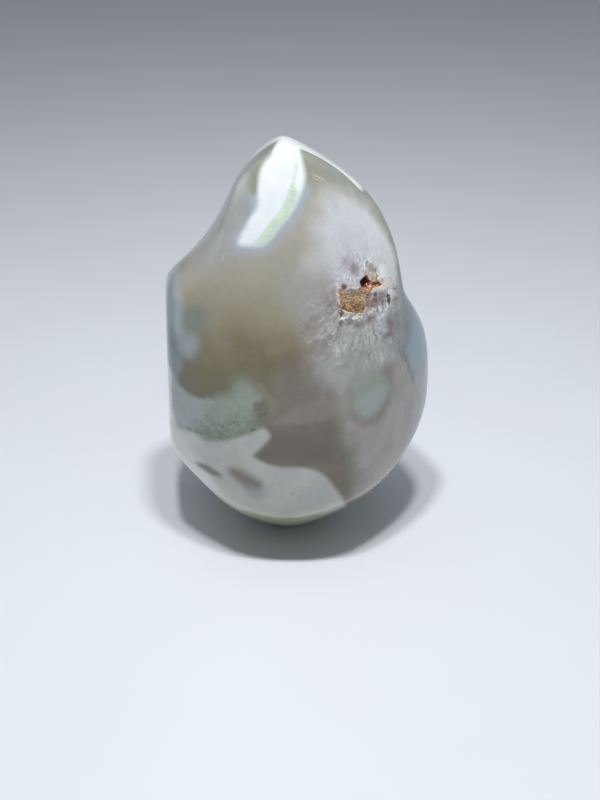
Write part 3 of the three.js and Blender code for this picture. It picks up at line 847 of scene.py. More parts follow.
def mark_group():
    """How much a short mark covers: a soft line from one place to another."""
    inputs = {"Start": VECTOR, "End": VECTOR, "Width": NUMBER}
    tree, w, given, made = new_group("mark", inputs, "Cover")
    run = w.vector("SUBTRACT", given["End"], given["Start"])
    from_start = w.vector("SUBTRACT", w.millimetres(), given["Start"])
    reached = w.vector("DOT_PRODUCT", from_start, run)
    along = w.math("DIVIDE", reached, w.vector("DOT_PRODUCT", run, run), clamp=True)
    distance = w.vector("LENGTH", w.vector("SUBTRACT", from_start, w.vector("SCALE", run, along)))
    core = w.math("MULTIPLY", given["Width"], MARK_CORE)
    w.feed(made, w.fade(distance, given["Width"], core))
    return tree


def stain_and_glint_group():
    """How much a stain or painted glint near the vug covers: a soft uneven oval at a place on the vug's
    face.
    """
    inputs = {"Place": VECTOR, "Middle": VECTOR, "Size": VECTOR, "Softness": NUMBER}
    tree, w, given, made = new_group("vug_stain_and_glint", inputs, "Cover")
    sway = w.wander(given["Place"], STAIN_SWAY_SCALE, detail=3.0)
    place = w.vector("ADD", given["Place"], w.vector("SCALE", sway, STAIN_SWAY))
    away = w.vector("DIVIDE", w.vector("SUBTRACT", place, given["Middle"]), given["Size"])
    distance = w.vector("LENGTH", w.vector("MULTIPLY", away, (1, 1, 0)))
    outer = w.math("ADD", given["Softness"], 1.0)
    inner = w.math("SUBTRACT", 1.0, given["Softness"])
    w.feed(made, w.fade(distance, outer, inner))
    return tree


def fibre_group():
    """Streaks that run out from a middle. Fineness is how many there are all round."""
    inputs = {"Away": VECTOR, "Fineness": NUMBER}
    tree, w, given, made = new_group("fibres", inputs, "Streaks")
    sway = w.vector("SCALE", w.wander(given["Away"], FIBRE_SWAY_SCALE, detail=2.0), FIBRE_SWAY)
    aim = w.vector("ADD", w.vector("NORMALIZE", given["Away"]), sway)
    drift = w.vector("SCALE", given["Away"], FIBRE_DRIFT)
    place = w.vector("ADD", w.vector("SCALE", aim, given["Fineness"]), drift)
    w.feed(made, w.noise(place, 1.0, detail=3.0, roughness=0.6))
    return tree


# The camera looks along this line, aslant to the vug's face. Stains and painted glints are
# placed where they show on the face from there, also those that lie deep in a pit.
SIGHT_ACROSS = 0.665
SIGHT_UP = -0.356
# Stains in the stone round the vug, and painted glints and highlights where light catches its
# rims and ledge: middle and half size across and up its face, softness, tone and strength.
STONE_STAINS_AND_GLINTS = {
    "mauve above": ((-1.0, 5.3), (1.2, 1.3), 0.7, "8e767d", 0.7),
    "mauve far above": ((-2.9, 7.2), (1.2, 1.3), 0.8, "a0929a", 0.55),
    "faint at the left": ((-7.5, 0.6), (1.1, 1.7), 0.8, "93827f", 0.35),
    "faint far left": ((-9.2, 1.6), (1.1, 1.6), 0.8, "9a8783", 0.3),
    "rose beside the rim": ((-6.4, -0.3), (0.8, 1.6), 0.8, "ab938c", 0.6),
    "dark upper left rim": ((-4.6, 2.4), (0.8, 0.8), 0.6, "7a4038", 0.9),
    "pink left rim": ((-5.6, 1.2), (0.6, 1.3), 0.5, "c99178", 0.85),
    "dark lower left rim": ((-6.3, -2.2), (0.6, 1.2), 0.5, "54352d", 0.9),
    "grey lower left": ((-6.7, -4.6), (0.7, 0.6), 0.6, "6c6c6e", 0.8),
    "pale lower rim": ((-4.2, -3.4), (1.3, 0.5), 0.4, "efe8df", 0.9),
    # Painted glints: white light caught on the lower rim.
    "painted glint at the lower left": ((-6.2, -3.8), (0.8, 0.3), 0.5, "fdf8f2", 0.9),
    "painted glint on the lower rim": ((-2.5, -4.7), (1.6, 0.4), 0.35, "ffffff", 1.0),
    "grey below": ((-4.6, -5.0), (1.2, 0.8), 0.6, "7c726d", 0.8),
    "grey farther below": ((-2.3, -6.2), (1.4, 0.8), 0.7, "7f7574", 0.75),
    "facet": ((3.3, 3.8), (1.2, 1.9), 0.6, "cfc0b0", 0.7),
    "tan between the pits": ((2.5, 0.5), (1.3, 0.6), 0.5, "b9834f", 0.95),
    "orange right of the floor": ((1.7, -0.9), (0.8, 0.9), 0.6, "b08562", 0.85),
    "orange left of the pocket": ((3.3, 1.5), (0.6, 0.6), 0.5, "bd7a50", 0.9),
    # Painted highlights: light caught along the facet's rims and at its point.
    "painted highlight on the facet's left rim": ((1.9, 4.6), (0.4, 1.6), 0.5, "fdf8f2", 0.9),
    "painted highlight on the facet's right rim": ((4.9, 2.4), (0.3, 1.1), 0.5, "f6e7d2", 0.9),
    "painted highlight at the facet's point": ((3.2, 5.8), (0.6, 0.9), 0.5, "fffaf0", 0.95),
    "white beside the facet": ((6.4, 3.0), (0.9, 1.6), 0.7, "ffffff", 0.85),
    "cream ledge": ((6.7, 0.7), (1.1, 0.9), 0.6, "f5e6d8", 0.9),
    "orange on the ledge": ((6.1, 1.2), (0.35, 0.45), 0.7, "c58a66", 0.65),
    # Painted glints: white light caught along the ledge.
    "painted glint at the ledge's left end": ((3.4, -0.5), (1.0, 0.4), 0.4, "fffaf6", 1.0),
    "painted glint in the ledge's middle": ((5.2, -0.7), (1.3, 0.45), 0.5, "fff6ee", 0.95),
    "painted glint at the ledge's right end": ((7.2, -1.6), (1.1, 0.3), 0.4, "fffbf6", 0.95),
    "cream end of the ledge": ((8.1, -1.3), (0.5, 0.5), 0.6, "f1e9e2", 0.7),
    "dark under the ledge": ((3.4, -1.8), (0.55, 0.9), 0.6, "6d534d", 0.85),
    "mauve under the ledge": ((2.7, -3.0), (1.1, 0.9), 0.6, "7d6063", 0.75),
    "brown under the ledge": ((4.9, -2.5), (1.0, 1.2), 0.6, "8d6c68", 0.8),
    "dark streak": ((6.9, -3.0), (0.4, 1.3), 0.5, "473530", 0.95),
    "rose beside the floor": ((1.0, -2.6), (0.9, 1.3), 0.7, "a37b70", 0.85),
    "orange spot": ((9.3, -3.6), (0.8, 0.9), 0.7, "b98d74", 0.8),
    "mauve low right": ((6.2, -8.4), (0.9, 1.6), 0.7, "85727a", 0.75),
    "brown low right": ((5.4, -10.8), (1.4, 0.6), 0.7, "7a5f5c", 0.7),
    "orange down from the facet": ((4.6, 2.6), (0.25, 1.3), 0.6, "a5714f", 0.8),
    "mauve left of the rim": ((-7.4, 2.2), (0.6, 1.3), 0.8, "9a837f", 0.45),
    "grey far low right": ((8.3, -8.8), (0.5, 1.9), 0.8, "7d8286", 0.6),
    "mauve beside the streak": ((8.4, -4.6), (0.8, 1.2), 0.8, "93858a", 0.5),
    "mauve low": ((1.0, -6.2), (1.8, 1.0), 0.8, "8a797b", 0.75),
}
# Stains in the crust, in the same way.
CRUST_STAINS = {
    "pale right of the floor": ((0.1, -0.8), (1.4, 1.8), 0.7, "ddc596", 0.7),
    "grey tan above": ((-2.6, 0.3), (2.6, 1.2), 0.8, "d3bf99", 0.7),
    "brown low in the floor": ((-2.4, -2.8), (2.3, 1.0), 0.8, "8c5222", 0.85),
    "brown lower left": ((-5.3, -1.7), (0.6, 0.8), 0.5, "7c4420", 0.85),
    "dark nick at the top": ((-2.6, 1.1), (0.4, 0.25), 0.5, "5a4028", 0.7),
    "dark of the hole": ((1.9, 2.3), (2.2, 1.3), 0.4, "8a2f1a", 1.0),
    "red foot of the hole": ((1.3, 1.2), (1.3, 0.6), 0.6, "c9501c", 0.95),
    "orange under the hole": ((1.0, 0.2), (1.2, 0.8), 0.6, "c98a4c", 0.9),
    "orange of the pocket": ((4.4, 0.3), (1.5, 0.9), 0.6, "d8803c", 0.95),
    "dark of the pocket": ((5.2, 0.9), (0.8, 0.45), 0.5, "6c3014", 0.95),
}


def vug_face_place(w):
    """Where a point shows on the vug's face, in millimetres across and up it."""
    out, across, up = face_frame(VUG_TURN, VUG_TILT)
    away = w.vector("SUBTRACT", w.millimetres(), tuple(vug_centre()))
    inputs = {
        "X": w.vector("DOT_PRODUCT", away, tuple(across + SIGHT_ACROSS * out)),
        "Y": w.vector("DOT_PRODUCT", away, tuple(up + SIGHT_UP * out)),
    }
    return w.add("ShaderNodeCombineXYZ", inputs).outputs[0]


def add_stains_and_glints(w, colour, place, stains, tree):
    """Lays some stains, and any painted glints among them, over a colour."""
    for middle, size, softness, code, strength in stains.values():
        inputs = {"Place": place, "Middle": (*middle, 0), "Size": (*size, 1), "Softness": softness}
        cover = w.math("MULTIPLY", w.group(tree, inputs), strength)
        colour = w.mix(cover, colour, tone(code))
    return colour


QUARTZ_IOR = 1.54


def new_material(name):
    material = bpy.data.materials.new(name)
    material.use_nodes = True
    material.node_tree.nodes.clear()
    return material, Wiring(material.node_tree)


def finish_material(w, shader):
    output = w.add("ShaderNodeOutputMaterial")
    w.feed(output.inputs["Surface"], shader.outputs["BSDF"])


# The tones of the clear body, from low to high on the stone.
BODY_LOW = 40.0
BODY_HIGH = 100.0
BODY_TONES = {
    0.0: "756f5c",
    0.1: "77705a",
    0.17: "7c7459",
    0.24: "857c62",
    0.32: "938a72",
    0.4: "a49e8a",
    0.5: "aca898",
    0.62: "b0ada0",
    0.72: "b4b2a6",
    0.82: "a5a397",
    0.92: "909285",
}
BODY_SWAY = 9.0
BODY_SWAY_SIZE = 20.0
VEIL_SIZE = 10.0
VEIL_NOISE = (0.45, 0.8)
VEIL_STRENGTH = 0.22
VEIL_TONE = "c3c1b8"


def agate_body(w, place):
    """The clear body: olive grey, browner low down, with faint wide veils."""
    height = w.add("ShaderNodeSeparateXYZ", {0: place}).outputs["Z"]
    clouds = w.noise(place, BODY_SWAY_SIZE, detail=2.0)
    sway = w.math("MULTIPLY", w.math("SUBTRACT", clouds, 0.5), BODY_SWAY)
    level = w.math("SUBTRACT", w.math("ADD", height, sway), BODY_LOW)
    colour = w.ramp(w.math("DIVIDE", level, BODY_HIGH - BODY_LOW), BODY_TONES)
    clouds = w.noise(place, VEIL_SIZE, detail=4.0, roughness=0.6)
    veils = w.fade(clouds, *VEIL_NOISE, high=VEIL_STRENGTH)
    return w.mix(veils, colour, tone(VEIL_TONE))


# The layers of the quartz round the vug, in the order in which they are laid on: milky above
# it, feathery below, speckled close to it. Each shows where all its fields are well past a
# first value on the way to a second one. Side, height and reach are millimetres on the vug's
# face, from the vug's middle. The other fields are noises, or shares from 0 to 1.
QUARTZ_LOW = "b3b4b1"
QUARTZ_HIGH = "d3d6da"
QUARTZ_CHANGE = (-11.0, 5.0)
QUARTZ_LAYERS = {
    "white at the right": {"tone": "e6edee", "strength": 0.7, "where": [("side", -2.0, 7.0)]},
    "brown at the left": {
        "tone": "a59d97", "strength": 0.8,
        "where": [("height", 12.5, 4.0), ("height", -12.0, -7.0), ("side", -4.0, -10.0)],
    },
    # Painted shade: the quartz darker at the lower right, towards the right edge.
    "painted shade at the lower right": {
        "tone": "7f8187", "strength": 0.8, "where": [("side", 1.5, 7.5), ("height", -2.0, -9.0)],
    },
    "broad dark fibres": {"tone": "868882", "strength": 0.55, "where": [("broad", 0.5, 0.38), ("near",)]},
    "broad bright fibres": {"tone": "d9dcd8", "strength": 0.5, "where": [("broad", 0.52, 0.64), ("near",)]},
    "fine dark fibres": {"tone": "85807f", "strength": 0.5, "where": [("fine", 0.48, 0.36), ("near",)]},
    "fine bright fibres": {"tone": "eef1ef", "strength": 0.65, "where": [("fine", 0.53, 0.66), ("near",)]},
    "milky clouds": {
        "tone": "eef1f2", "strength": 0.26,
        "where": [("clouds", 0.46, 0.7), ("height", -1.0, 4.0), ("side", -5.0, -1.0)],
    },
    "dark specks": {
        "tone": "97898b", "strength": 0.5, "where": [("specks", 0.5, 0.34), ("reach", 12.0, 6.0)],
    },
    "bright specks": {
        "tone": "f3f5f4", "strength": 0.6, "where": [("specks", 0.52, 0.66), ("reach", 12.0, 6.0)],
    },
}
# The fibres lie near the vug, mostly below it, in loose patches. Each field has its two values
# and the least share that is left.
FIBRES_REACH = (21.0, 12.0)
FIBRES_LOW = (4.0, -3.0, 0.15)
FIBRES_PATCHY = (0.36, 0.6, 0.35)
FIBRE_PATCH_SIZE = 4.0
BROAD_FIBRES = 3.2
FINE_FIBRES = 9.0
MILKY_CLOUD_SIZE = 2.6
SPECK_SIZE = 0.7
# Mauve and white streaks run up the broken places beside the pits.
STREAK_SIZE = 0.8
STREAK_STRETCH = (1.0, 0.45, 1.0)
STREAK_LAYERS = {
    "dark streaks": {"tone": "836a6a", "strength": 0.65, "where": [("streaks", 0.5, 0.36), ("broken",)]},
    "bright streaks": {"tone": "ece6e4", "strength": 0.7, "where": [("streaks", 0.52, 0.66), ("broken",)]},
}


def add_layers(w, colour, fields, layers):
    """Lays tones over a colour, each as far as its strength and its fields let it show."""
    for layer in layers.values():
        cover = layer["strength"]
        for field, *values in layer["where"]:
            share = w.fade(fields[field], *values) if values else fields[field]
            cover = w.math("MULTIPLY", cover, share)
        colour = w.mix(cover, colour, tone(layer["tone"]))
    return colour


def cloudy_quartz(w, face_place, away, fibres):
    """The quartz round the vug, with the streaks of the broken places in it."""
    parts = w.add("ShaderNodeSeparateXYZ", {0: face_place}).outputs
    place = w.millimetres()
    reach = w.vector("LENGTH", face_place)
    patches = w.noise(place, FIBRE_PATCH_SIZE, detail=3.0, roughness=0.6)
    near = w.math("MULTIPLY", w.fade(reach, *FIBRES_REACH), w.fade(parts["Y"], *FIBRES_LOW))
    stretched = w.vector("MULTIPLY", face_place, STREAK_STRETCH)
    fields = {
        "side": parts["X"],
        "height": parts["Y"],
        "reach": reach,
        "near": w.math("MULTIPLY", near, w.fade(patches, *FIBRES_PATCHY)),
        "broad": w.group(fibres, {"Away": away, "Fineness": BROAD_FIBRES}),
        "fine": w.group(fibres, {"Away": away, "Fineness": FINE_FIBRES}),
        "clouds": w.noise(place, MILKY_CLOUD_SIZE, detail=4.0, roughness=0.65),
        "specks": w.noise(place, SPECK_SIZE, detail=4.0, roughness=0.7),
        "streaks": w.noise(stretched, STREAK_SIZE, detail=4.0, roughness=0.65),
        "broken": w.attribute("broken"),
    }
    colour = w.mix(w.fade(parts["Y"], *QUARTZ_CHANGE), tone(QUARTZ_LOW), tone(QUARTZ_HIGH))
    colour = add_layers(w, colour, fields, QUARTZ_LAYERS)
    return add_layers(w, colour, fields, STREAK_LAYERS)


# White chips along the pits' outer rims: where they start and end past a rim, the noise that
# breaks them up, and the place between the pits that has none, with the reach round it.
CHIP_TONE = "f6e8da"
CHIP_STRENGTH = 0.8
CHIP_PAST_RIM = (0.7, 0.2)
CHIP_SIZE = 0.9
CHIP_NOISE = (0.42, 0.6)
BETWEEN_PITS = (1.9, 0.3, 0.0)
NO_CHIPS_REACH = (1.6, 2.8)


def add_chips(w, colour, face_place):
    """Lays white chips over a colour, round the pits."""
    rim = w.fade(w.attribute("past_pits"), *CHIP_PAST_RIM)
    chips = w.fade(w.noise(face_place, CHIP_SIZE, detail=2.0, roughness=0.6), *CHIP_NOISE)
    outer = w.fade(w.vector("DISTANCE", face_place, BETWEEN_PITS), *NO_CHIPS_REACH)
    chipped = w.math("MULTIPLY", rim, w.math("MULTIPLY", chips, outer))
    return w.mix(w.math("MULTIPLY", chipped, CHIP_STRENGTH), colour, tone(CHIP_TONE))


# The finish: how much the marks cover, how much fine haze changes the tone, the share of the
# polish's roughness in the best and the worst polished places, how much rougher broken stone
# is, and how high the polish's faint relief is beside the grains of broken stone.
MARK_STRENGTH = 0.8
HAZE = 0.025
HAZE_SIZE = 0.6
POLISH_SHARES = (0.7, 1.4)
POLISH_SIZE = 14.0
BROKEN_ROUGHNESS = 0.35
GRAIN_SIZE = 0.35
FAINT_RELIEF = 0.02
FAINT_RELIEF_SIZE = 6.0


def polished_agate(settings):
    """The stone's finish: a clouded clear body, its patches, and a mirror polish that gives way
    to rough grains where the stone is broken round the vug."""
    material, w = new_material("polished_agate")
    place = w.millimetres()
    face_place = vug_face_place(w)
    away = w.vector("SUBTRACT", place, tuple(vug_centre()))
    stains, fibres = stain_and_glint_group(), fibre_group()
    quartz = cloudy_quartz(w, face_place, away, fibres)
    quartz = add_stains_and_glints(w, quartz, face_place, STONE_STAINS_AND_GLINTS, stains)
    quartz = add_chips(w, quartz, face_place)
    cover_group, tone_group, marks = patch_cover_group(), clouded_tone_group(), mark_group()
    colour = agate_body(w, place)
    for name, patch in PATCHES.items():
        look = {key.capitalize(): patch[key] for key in ("edge", "wander", "grain")}
        cover = w.group(cover_group, {"Distance": w.attribute(name), **look})
        filling = quartz
        if "tones" in patch:
            first, second = (tone(code) for code in patch["tones"])
            filling = w.group(tone_group, {"First": first, "Second": second, "Grain": patch["grain"]})
        colour = w.mix(cover, colour, filling)
    for start, end, width, code in MARKS.values():
        cover = w.group(marks, {"Start": start, "End": end, "Width": width})
        colour = w.mix(w.math("MULTIPLY", cover, MARK_STRENGTH), colour, tone(code))
    fine = w.noise(place, HAZE_SIZE, detail=3.0, roughness=0.7)
    haze = w.fade(fine, *NOISE_SPAN, -HAZE, HAZE)
    colour = w.vector("SCALE", colour, w.math("ADD", haze, 1.0))
    broken = w.attribute("broken")
    polish = w.fade(w.noise(place, POLISH_SIZE, detail=3.0), *NOISE_SPAN, *POLISH_SHARES)
    roughness = w.math("MULTIPLY", polish, settings.polish_roughness)
    grains = w.noise(place, GRAIN_SIZE, detail=4.0, roughness=0.7)
    faint = w.math("MULTIPLY", w.noise(place, FAINT_RELIEF_SIZE, detail=2.0), FAINT_RELIEF)
    relief = w.math("ADD", w.math("MULTIPLY", grains, broken), faint)
    bump = w.add("ShaderNodeBump", {"Strength": 1.0, "Distance": settings.grain_relief, "Height": relief})
    shader = w.add(
        "ShaderNodeBsdfPrincipled",
        {
            "Base Color": colour,
            "Roughness": w.math("ADD", roughness, w.math("MULTIPLY", broken, BROKEN_ROUGHNESS)),
            "IOR": QUARTZ_IOR,
            "Coat Weight": 0.3,
            "Coat Roughness": 0.03,
            "Subsurface Weight": settings.glow,
            "Subsurface Radius": (1.0, 0.9, 0.75),
            "Subsurface Scale": settings.glow_depth,
            "Normal": bump.outputs["Normal"],
        },
    )
    finish_material(w, shader)
    return material


# The pits and scars lie within this reach of the vug's middle, and stone sunk by so many
# millimetres counts as broken all through.
VUG_REACH = 13.0
VUG_BACK = 12.0
ALL_BROKEN_AT = 0.3


def build_stone(settings):
    """The polished stone, with the vug sunk in its front right face."""
    surface = stone_surface()
    across, up, out = vug_coordinates(surface)
    near = (np.hypot(across, up) < VUG_REACH) & (out > -VUG_BACK)
    pits = pit_depth(across[near], up[near])
    scars = scar_depth(across[near], up[near])
    sunk = surface.copy()
    sunk[near] -= np.maximum(pits, scars)[:, None] * face_frame(VUG_TURN, VUG_TILT)[0]
    broken = np.zeros(len(surface))
    broken[near] = np.clip(np.maximum(pits, scars) / ALL_BROKEN_AT, 0, 1)
    rims = np.full(len(surface), FARTHEST_REACH)
    rims[near] = np.min(list(past_pits(across[near], up[near]).values()), axis=0)
    mesh = bpy.data.meshes.new("polished_stone")
    mesh.from_pydata(in_frame(sunk).tolist(), [], ball()[1])
    mesh.shade_smooth()
    for name, distance in past_patches(in_frame(surface) / MM).items():
        write_attribute(mesh, name, distance)
    write_attribute(mesh, "broken", broken)
    write_attribute(mesh, "past_pits", rims)
    mesh.materials.append(polished_agate(settings))
    stone = object_from_mesh("polished_stone", mesh)
    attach(stone, "root")
    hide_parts("agate_stone")


# The crust in the vug: a lumpy lining that follows the pits, and small six-sided points on it.
# The lining lies a little over the pits' walls, and sinks back to them where they are shallow.
# The face over the pits is found on lines that start inside the stone and end outside it.
LINING_CELL = 0.14
LINING_REACH = 7.0
LINING_LIFT = 0.35
LINING_THICKNESS = 0.5
LINING_WHOLE_FROM = 1.0
SHALLOWEST = 0.3
LUMP_HEIGHT = 0.14
LUMP_SIZE = 0.7
FINE_LUMP_HEIGHT = 0.098
FINE_LUMP_SIZE = 0.35
INSIDE_STONE = -9.0
OUT_OF_STONE = 14.0


def lining_mesh():
    """A thin closed shell over the pits' walls. Its upper side is marked for the points."""
    steps = np.arange(-LINING_REACH, LINING_REACH, LINING_CELL)
    across, up = (grid.ravel() for grid in np.meshgrid(steps, steps))
    depth = pit_depth(across, up)
    inner = vug_place(across, up, np.full(len(across), INSIDE_STONE))
    normal = face_frame(VUG_TURN, VUG_TILT)[0]
    outward = np.tile(normal, (len(inner), 1))
    face = vug_coordinates(meet_surface(inner, outward, OUT_OF_STONE))[2]
    spots = np.stack([across, up, depth], axis=-1)
    lumps = LUMP_HEIGHT * np.abs(ragged(spots, LUMP_SIZE, 5))
    lumps += FINE_LUMP_HEIGHT * ragged(spots, FINE_LUMP_SIZE, 6)
    whole = np.clip(depth / LINING_WHOLE_FROM, 0, 1)
    top = face - depth + (LINING_LIFT + lumps) * whole
    count = len(steps)
    kept = depth > SHALLOWEST
    cells = []
    for row in range(count - 1):
        for column in range(count - 1):
            a = row * count + column
            cell = (a, a + 1, a + count + 1, a + count)
            if all(kept[i] for i in cell):
                cells.append(cell)
    used = sorted({i for cell in cells for i in cell})
    number = {old: new for new, old in enumerate(used)}
    upper = vug_place(across[used], up[used], top[used])
    lower = vug_place(across[used], up[used], top[used] - LINING_THICKNESS)
    faces = [tuple(number[i] for i in cell) for cell in cells]
    edges = {(f[i], f[(i + 1) % 4]) for f in faces for i in range(4)}
    rim = [(a, b) for a, b in edges if (b, a) not in edges]
    under = len(used)
    walls = [(b, a, a + under, b + under) for a, b in sorted(rim)]
    floor = [tuple(i + under for i in reversed(f)) for f in faces]
    mesh = bpy.data.meshes.new("vug_crystals")
    mesh.from_pydata(in_frame(np.concatenate([upper, lower])).tolist(), [], faces + walls + floor)
    write_attribute(mesh, "upper_side", np.repeat([1.0, 0.0], under))
    return mesh


# The points: their sides, the share of a point below its pyramid, the least and the largest
# scale, and how far they lean two ways and turn, in radians.
POINT_SIDES = 6
SHANK_SHARE = 0.55
POINT_SCALES = (0.45, 1.3)
LEAST_LEAN = (-0.9, -0.9, 0.0)
MOST_LEAN = (0.9, 0.9, 6.28)
LEAN_SEED = 11
SCALE_SEED = 12
SHADE_SEED = 13
DRUSE_INPUTS = {
    "Geometry": "NodeSocketGeometry",
    "Points per mm2": NUMBER,
    "Length": NUMBER,
    "Width": NUMBER,
    "Seed": "NodeSocketInt",
}


def crystal_point(w, length, width):
    """One six-sided point: a short shank with a pyramid on it, standing on its foot."""
    half = w.math("MULTIPLY", width, 0.5)
    shank_length = w.math("MULTIPLY", length, SHANK_SHARE)
    round_foot = {"Vertices": POINT_SIDES, "Radius Bottom": half}
    shank_inputs = {**round_foot, "Radius Top": half, "Depth": shank_length}
    shank = w.add("GeometryNodeMeshCone", shank_inputs)
    tip_length = w.math("MULTIPLY", length, 1 - SHANK_SHARE)
    tip_inputs = {**round_foot, "Radius Top": 0.0, "Depth": tip_length}
    tip = w.add("GeometryNodeMeshCone", tip_inputs, fill_type="NONE")
    lift = w.add("ShaderNodeCombineXYZ", {"Z": shank_length})
    raised_inputs = {"Geometry": tip.outputs["Mesh"], "Translation": lift.outputs[0]}
    raised = w.add("GeometryNodeTransform", raised_inputs)
    both = w.add("GeometryNodeJoinGeometry")
    for part in (shank.outputs["Mesh"], raised.outputs["Geometry"]):
        w.tree.links.new(part, both.inputs[0])
    return both.outputs[0]


def druse_tree(material):
    """Geometry Nodes that stand six-sided points on the upper side of the lining."""
    tree = bpy.data.node_groups.new("vug_druse", "GeometryNodeTree")
    for label, kind in DRUSE_INPUTS.items():
        tree.interface.new_socket(name=label, in_out="INPUT", socket_type=kind)
    tree.interface.new_socket(name="Geometry", in_out="OUTPUT", socket_type="NodeSocketGeometry")
    w = Wiring(tree)
    given = w.add("NodeGroupInput").outputs
    upper = w.add("GeometryNodeInputNamedAttribute", {"Name": "upper_side"}, data_type="FLOAT")
    spread = w.add(
        "GeometryNodeDistributePointsOnFaces",
        {
            "Mesh": given["Geometry"],
            "Density": w.math("MULTIPLY", given["Points per mm2"], 1 / MM**2),
            "Selection": w.math("GREATER_THAN", upper.outputs["Attribute"], 0.9),
            "Seed": given["Seed"],
        },
    )
    lean_inputs = {0: LEAST_LEAN, 1: MOST_LEAN, "Seed": LEAN_SEED}
    lean = w.add("FunctionNodeRandomValue", lean_inputs, data_type="FLOAT_VECTOR")
    lean_turn = w.add("FunctionNodeEulerToRotation", {0: lean.outputs[0]})
    turn = w.add(
        "FunctionNodeRotateRotation",
        {"Rotation": spread.outputs["Rotation"], "Rotate By": lean_turn.outputs[0]},
        rotation_space="LOCAL",
    )
    smallest, largest = POINT_SCALES
    size_inputs = {2: smallest, 3: largest, "Seed": SCALE_SEED}
    size = w.add("FunctionNodeRandomValue", size_inputs, data_type="FLOAT")
    stand = w.add(
        "GeometryNodeInstanceOnPoints",
        {
            "Points": spread.outputs["Points"],
            "Instance": crystal_point(w, given["Length"], given["Width"]),
            "Rotation": turn.outputs[0],
            "Scale": size.outputs[1],
        },
    )
    shade_inputs = {2: 0.0, 3: 1.0, "Seed": SHADE_SEED}
    shade = w.add("FunctionNodeRandomValue", shade_inputs, data_type="FLOAT")
    marked = w.add(
        "GeometryNodeStoreNamedAttribute",
        {"Geometry": stand.outputs["Instances"], "Name": "shade", "Value": shade.outputs[1]},
        data_type="FLOAT",
        domain="INSTANCE",
    )
    whole = w.add("GeometryNodeJoinGeometry")
    for part in (given["Geometry"], marked.outputs["Geometry"]):
        w.tree.links.new(part, whole.inputs[0])
    real = w.add("GeometryNodeRealizeInstances", {"Geometry": whole.outputs[0]})
    finish = w.add("GeometryNodeSetMaterial", {"Geometry": real.outputs[0], "Material": material})
    w.feed(w.add("NodeGroupOutput").inputs["Geometry"], finish.outputs["Geometry"])
    return tree


# Some of the points are darker than the rest, and some paler.
SHADE_LAYERS = {
    "dark points": {"tone": "74431f", "strength": 0.45, "where": [("shade", 0.6, 1.0)]},
    "pale points": {"tone": "fff0cf", "strength": 0.35, "where": [("shade", 0.35, 0.1)]},
}
CLUMP_SIZE = 1.2
CLUMP_NOISE = (0.4, 0.62)
CRUST_GRAIN_SIZE = 0.7
CRUST_ROUGHNESS = (0.22, 0.5)


def stained_quartz(settings):
    """The crystals' finish: bright quartz stained golden, orange and deep red by iron."""
    material, w = new_material("stained_quartz")
    place = w.millimetres()
    grains = w.noise(place, CRUST_GRAIN_SIZE, detail=4.0, roughness=0.65)
    clumps = w.noise(place, CLUMP_SIZE, detail=4.0, roughness=0.7)
    colour = w.mix(w.fade(clumps, *CLUMP_NOISE), settings.golden, settings.brown)
    colour = add_stains_and_glints(w, colour, vug_face_place(w), CRUST_STAINS, stain_and_glint_group())
    colour = add_layers(w, colour, {"shade": w.attribute("shade")}, SHADE_LAYERS)
    shader = w.add(
        "ShaderNodeBsdfPrincipled",
        {
            "Base Color": colour,
            "Roughness": w.fade(grains, *NOISE_SPAN, *CRUST_ROUGHNESS),
            "IOR": QUARTZ_IOR,
            "Coat Weight": 0.3,
            "Coat Roughness": 0.08,
            "Subsurface Weight": 0.4,
            "Subsurface Radius": (1.0, 0.8, 0.5),
            "Subsurface Scale": 0.5 * MM,
        },
    )
    finish_material(w, shader)
    return material


def build_crystals(settings):
    """The crust of small crystals that lines the vug's pits."""
    material = stained_quartz(settings)
    mesh = lining_mesh()
    mesh.materials.append(material)
    crust = object_from_mesh("vug_crystals", mesh)
    modifier = crust.modifiers.new("druse", "NODES")
    modifier.node_group = druse_tree(material)
    values = {
        "Points per mm2": settings.points_per_mm2,
        "Length": settings.point_length,
        "Width": settings.point_width,
        "Seed": settings.seed,
    }
    for socket in modifier.node_group.interface.items_tree:
        if socket.in_out == "INPUT" and socket.name in values:
            modifier[socket.identifier] = values[socket.name]
    bpy.context.view_layer.update()
    depsgraph = bpy.context.evaluated_depsgraph_get()
    grown = bpy.data.meshes.new_from_object(
        crust.evaluated_get(depsgraph), preserve_all_data_layers=True, depsgraph=depsgraph
    )
    crust.modifiers.clear()
    crust.data = grown
    grown.name = "vug_crystals"
    grown.shade_flat()
    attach(crust, "root")
    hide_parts("vug_crystal_crust")


# The stage: a pale floor, soft lamps overhead, and the camera at the photograph's angle.
FLOOR_REACH = 3.0
CAMERA_PLACE = (1.0 * MM, -227.5 * MM, 165.5 * MM)
CAMERA_LOOKS_DOWN = 30.3
CAMERA_LENS = 50.0
CAMERA_SENSOR = 36.0
LAMP_SPREAD = 0.032
LAMP_FORWARD = -0.085
LAMP_HEIGHT = 0.42
LAMP_SIZE = (0.035, 0.035)
LAMPS_AIM = (0.0, 0.0, 0.04)
SOFT_PLACE = (0.0, 0.05, 0.7)
SOFT_SIZE = (0.7, 0.5)
FLOOR_DROP = 0.05 * MM
FLOOR_CLOUDS = 0.3
FLOOR_CLOUD_SIZE = 60.0
FLOOR_CLOUD_TONE = "dfe3e8"
SKY_TONE = "dfe6ee"


def pale_floor(settings):
    material, w = new_material("pale_floor")
    clouds = w.noise(w.millimetres(), FLOOR_CLOUD_SIZE, detail=3.0)
    share = w.fade(clouds, *NOISE_SPAN, high=FLOOR_CLOUDS)
    colour = w.mix(share, settings.floor_colour, tone(FLOOR_CLOUD_TONE))
    finish_material(w, w.add("ShaderNodeBsdfPrincipled", {"Base Color": colour, "Roughness": 0.55}))
    return material


